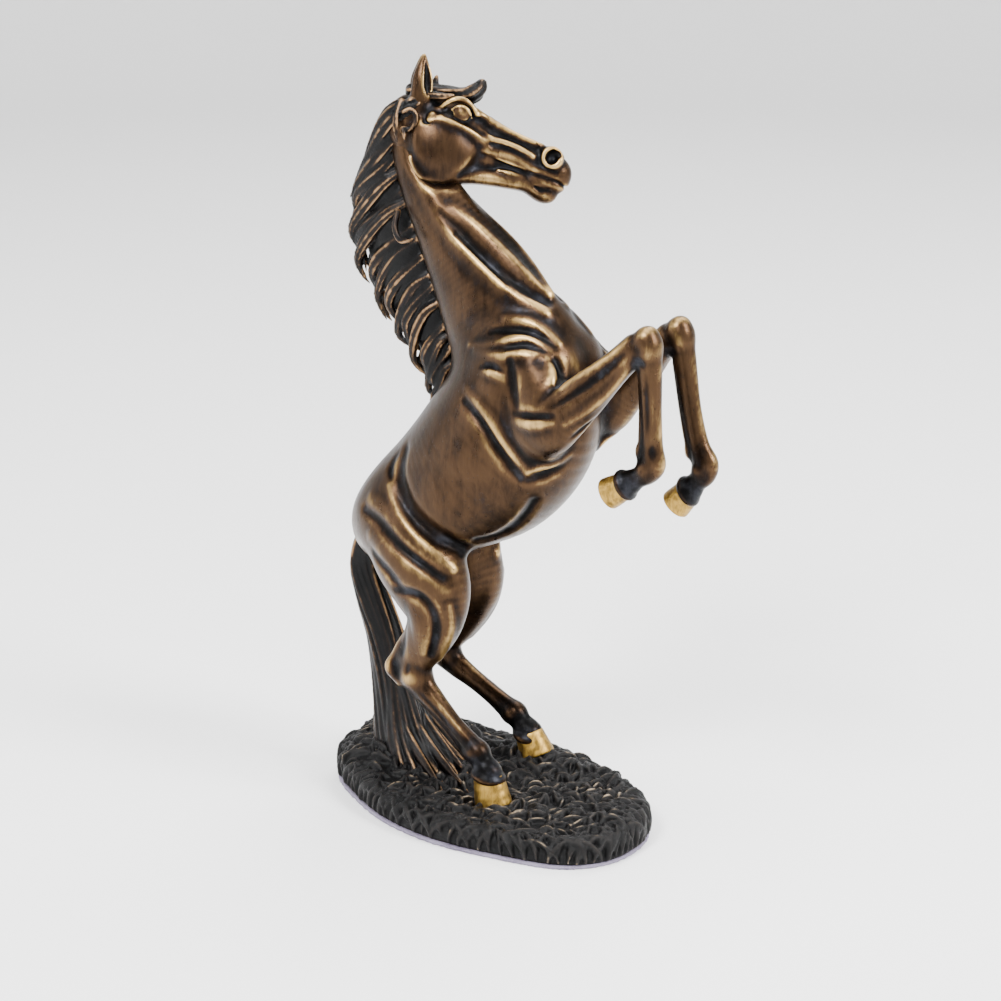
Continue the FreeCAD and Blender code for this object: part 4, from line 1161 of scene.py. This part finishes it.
def steel():
    """Zinc-plated steel, slightly blotched."""
    f = Finish("steel")
    blotch = f.noise(0.6, 4, 0.6)
    scratch = f.noise(1.5, 5, 0.7, (0.2, 1, 1))
    colour = f.mix(f.remap(blotch, 0.35, 0.65), STEEL_DARK, STEEL_LIGHT)
    f.paint(colour, f.remap(scratch, 0.3, 0.7, 0.28, 0.5), 1.0)
    f.bump(scratch, 0.05, 0.5)
    return f.material


FINISHES = {"bronze": bronze(), "dark_bronze": dark_bronze(), "gilt": gilt(), "base_patina": base_patina(),
            "felt": felt(), "steel": steel()}


# ---------------------------------------------------------------- the pieces
def capsule_run(p, rows):
    """How far points lie outside a chain of round-ended rods; rows are x, y, z, radius."""
    best = np.full(len(p), 1e9)
    for a, b in zip(np.array(rows[:-1], float), np.array(rows[1:], float)):
        e = b[:3] - a[:3]
        t = np.clip((p - a[:3]) @ e / (e @ e), 0, 1)
        best = np.minimum(best, np.linalg.norm(p - a[:3] - t[:, None] * e, axis=1) - a[3] - t * (b[3] - a[3]))
    return best


FORE_REGION = [(33, -19, 160, 13), (50, -18, 169, 12), (72, -16, 186, 13), (78, -15, 164, 12),
               (72, -15, 143, 14)]
HIND_REGION = [
    (-26, -20, 102, 17), (-16, -21, 86, 16), (-20, -21, 66, 16), (-24, -21.5, 54, 14), (-8, -22, 41, 13),
    (10, -22, 26, 13), (14, -22, 14, 12)]
NECK_SEAT, NECK_UP = np.array([6.0, 0, 184]), np.array([-0.5, 0, 0.87])


# painted shade: the bronze is painted darker round the top of each hoof, where the lower legs lie in shadow
PASTERN_REACH, PASTERN_PAINTED_SHADE = 11, 0.26


def body_pieces():
    clay = Clay((-72, -34, 14), (92, 34, 266), grid_step("body"))
    body_forms(clay)
    leg_joints(clay)
    trunk_marks(clay)
    neck_marks(clay)
    thigh_marks(clay)
    shin_marks(clay)
    cheek_seat(clay)
    clay.soften(1)
    shell = Skin(*clay.triangles())
    # painted shade: lower the height near each hoof so the lower legs colour darker
    for _, top, bottom, _, _ in HOOVES:
        nearness = np.exp(-((np.linalg.norm(shell.v - np.array(top, float), axis=1) / PASTERN_REACH) ** 2))
        shell.height -= PASTERN_PAINTED_SHADE * nearness
    rest = shell.parts()
    regions = []
    for name, rows, move in (("foreleg", FORE_REGION, left_fore), ("hind_leg", HIND_REGION, left_hind)):
        wide = [(x, y, z, r, 0) for x, y, z, r in rows]
        regions.append(("right_" + name, rows, -1))
        regions.append(("left_" + name, [row[:4] for row in carried(wide, move)], 1))
    pieces = []
    for name, rows, side in regions:
        p = rest[0]
        s = np.maximum(capsule_run(p, rows), 3 - side * p[:, 1])
        pieces.append((name, cap(*slice_skin(rest, s))))
        rest, rim = slice_skin(rest, -s)
        rest = cap(rest, rim)
    s = (rest[0] - NECK_SEAT) @ NECK_UP
    pieces.append(("neck", cap(*slice_skin(rest, -s))))
    pieces.append(("torso", cap(*slice_skin(rest, s))))
    for name, bundle in pieces:
        build(name + "_cast", bundle, FINISHES["bronze"], name)


def head_pieces():
    for name, forms, low, high, finish in (
            ("head", head_forms, (-14, -14, -34), (67, 14, 24), "bronze"),
            ("forelock", forelock_forms, (-8, -10, 2), (26, 10, 24), "dark_bronze")):
        clay = Clay(low, high, grid_step("head"))
        forms(clay)
        clay.soften(2)
        v, t = clay.triangles()
        shell = Skin(from_head(v), t, 2.2, 0.6)
        shell.height *= 0.7
        build(name + "_cast", shell.parts(), FINISHES[finish], name)


def hair_pieces():
    for name, forms, low, high in (
            ("mane", mane_forms, (-74, -20, 150), (0, 20, 276)),
            ("tail", tail_forms, (-76, -30, 8), (4, 22, 112))):
        clay = Clay(low, high, grid_step("hair"))
        forms(clay)
        shell = Skin(*clay.triangles(), 2.2, 0.7)
        build(name + "_cast", shell.parts(), FINISHES["dark_bronze"], name)


HOOVES = (
    ("right_fore_hoof", (66.6, -15, 140), (59.4, -15, 135.7), (4.6, 4.9), (5.3, 5.9)),
    ("left_fore_hoof", (74.6, 15, 132), (69.1, 15, 126.1), (4.6, 4.9), (5.3, 5.9)),
    ("right_hind_hoof", (11.9, -22, 22.4), (14.9, -22, 9.4), (5.0, 5.4), (6.5, 7.5)),
    ("left_hind_hoof", (0.6, 22, 22.2), (4.6, 22, 13.2), (5.0, 5.4), (6.5, 7.3)))


def hoof_pieces():
    for name, top, bottom, radius_top, radius_bottom in HOOVES:
        low = np.minimum(top, bottom) - 11
        high = np.maximum(top, bottom) + 11
        clay = Clay(low, high, grid_step("hoof"))
        hoof_forms(clay, top, bottom, radius_top, radius_bottom)
        clay.soften(1)
        shell = Skin(*clay.triangles(), 1.6, 0.6)
        build(name + "_cast", shell.parts(), FINISHES["gilt"], name)


def ground_pieces():
    _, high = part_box("felt_pad")
    felt_top = high[2] / MM
    clay = Clay((-82, -56, felt_top - 2), (76, 52, 36), grid_step("base"))
    base_forms(clay, felt_top)
    shell = Skin(*clay.triangles(), 2.6, 0.8)
    build("base_cast", shell.parts(), FINISHES["base_patina"], "base")
    loop = foot_loop(8) * 0.975
    clay = Clay((-82, -56, -2), (76, 52, felt_top + 2), grid_step("felt"))
    part, gx, gy, gz = clay.window((-200, -200, -9), (200, 200, 99))
    edge = outside(gx[:, :, 0], gy[:, :, 0], loop)[:, :, None]
    fuzz = 0.12 * np.sin(gx * 1.9 + gy * 1.3) + 0.1 * np.sin(gx * 0.7 - gy * 1.6)
    slab = np.maximum(np.maximum(edge + fuzz, gz - felt_top), -gz)
    clay.add(part, slab.astype(np.float32), 0)
    shell = Skin(*clay.triangles())
    build("felt_disc", shell.parts(), FINISHES["felt"], "felt_pad")


def fasteners():
    for name in ("studs", "washers", "nuts", "leg_dowels", "neck_pin", "head_pin"):
        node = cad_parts[name]
        node.data.materials.clear()
        node.data.materials.append(FINISHES["steel"])


body_pieces()
head_pieces()
hair_pieces()
hoof_pieces()
ground_pieces()
fasteners()


# ---------------------------------------------------------------- room, lights and camera
def plain(name, colour, rough):
    f = Finish(name)
    f.paint(colour, f.remap(f.noise(0.01), 0.3, 0.7, rough, rough + 0.1))
    return f.material


def floor():
    """A pale round sheet whose rim curves up all round, like a shallow bowl."""
    flat, bend, around, curl = 1.8, 0.8, 64, 16
    rows = [(0.001, 0.0), (flat / 3, 0.0), (flat * 2 / 3, 0.0), (flat, 0.0)]
    for i in range(1, curl + 1):
        a = math.radians(90 * i / curl)
        rows.append((flat + bend * math.sin(a), bend * (1 - math.cos(a))))
    rows.append((flat + bend, flat + bend))
    corners, faces = [], []
    for i, (reach, up) in enumerate(rows):
        for k in range(around):
            a = 2 * math.pi * k / around
            corners.append((reach * math.cos(a), reach * math.sin(a), up))
            if i:
                here, there = (i - 1) * around, i * around
                n = (k + 1) % around
                faces.append((here + k, there + k, there + n, here + n))
    mesh = bpy.data.meshes.new("floor")
    mesh.from_pydata(corners, [], faces)
    mesh.polygons.foreach_set("use_smooth", [True] * len(faces))
    sheet = bpy.data.objects.new("floor", mesh)
    bpy.context.scene.collection.objects.link(sheet)
    mesh.materials.append(plain("floor_paint", (0.94, 0.94, 0.94), 0.6))


LIGHT_AIM = Vector((0, 0, 0.13))
CAMERA_AIM = Vector((0, 0, 0.12))


def softbox(name, where, size, power):
    lamp = bpy.data.lights.new(name, "AREA")
    lamp.shape = "RECTANGLE"
    lamp.size, lamp.size_y = size
    lamp.energy = power
    box = bpy.data.objects.new(name, lamp)
    bpy.context.scene.collection.objects.link(box)
    box.location = where
    box.rotation_euler = (LIGHT_AIM - Vector(where)).to_track_quat("-Z", "Y").to_euler()


CAMERA_TURN, CAMERA_RISE, CAMERA_AWAY = 35, 16, 1.1


def seen_from(turn, rise, away):
    """A point around the horse; turn 0 is on the camera's side, growing towards the horse's front."""
    turn = math.radians(CAMERA_TURN) + math.radians(turn)
    rise = math.radians(rise)
    level = away * math.cos(rise)
    return (level * math.sin(turn), -level * math.cos(turn), CAMERA_AIM.z + away * math.sin(rise))


floor()
softbox("key", seen_from(-35, 45, 1.4), (0.4, 0.4), 30)
softbox("front", seen_from(58, 34, 1.4), (0.4, 0.55), 36)
softbox("rim", seen_from(150, 55, 1.6), (0.8, 0.5), 16)
softbox("left_strip", seen_from(-85, 12, 1.2), (0.15, 1.0), 5)
softbox("top", (0, 0, 1.9), (1.6, 1.6), 44)

world = bpy.data.worlds.new("studio")
world.use_nodes = True
sky = world.node_tree.nodes["Background"]
sky.inputs["Color"].default_value = (1, 1, 1, 1)
sky.inputs["Strength"].default_value = 0.18
bpy.context.scene.world = world

lens = bpy.data.cameras.new("camera")
lens.lens = 106.4
lens.sensor_width = 36
lens.shift_x = 0.0055
lens.clip_end = 20
camera = bpy.data.objects.new("camera", lens)
bpy.context.scene.collection.objects.link(camera)
camera.location = seen_from(0, CAMERA_RISE, CAMERA_AWAY)
camera.rotation_euler = (CAMERA_AIM - camera.location).to_track_quat("-Z", "Y").to_euler()
bpy.context.scene.camera = camera
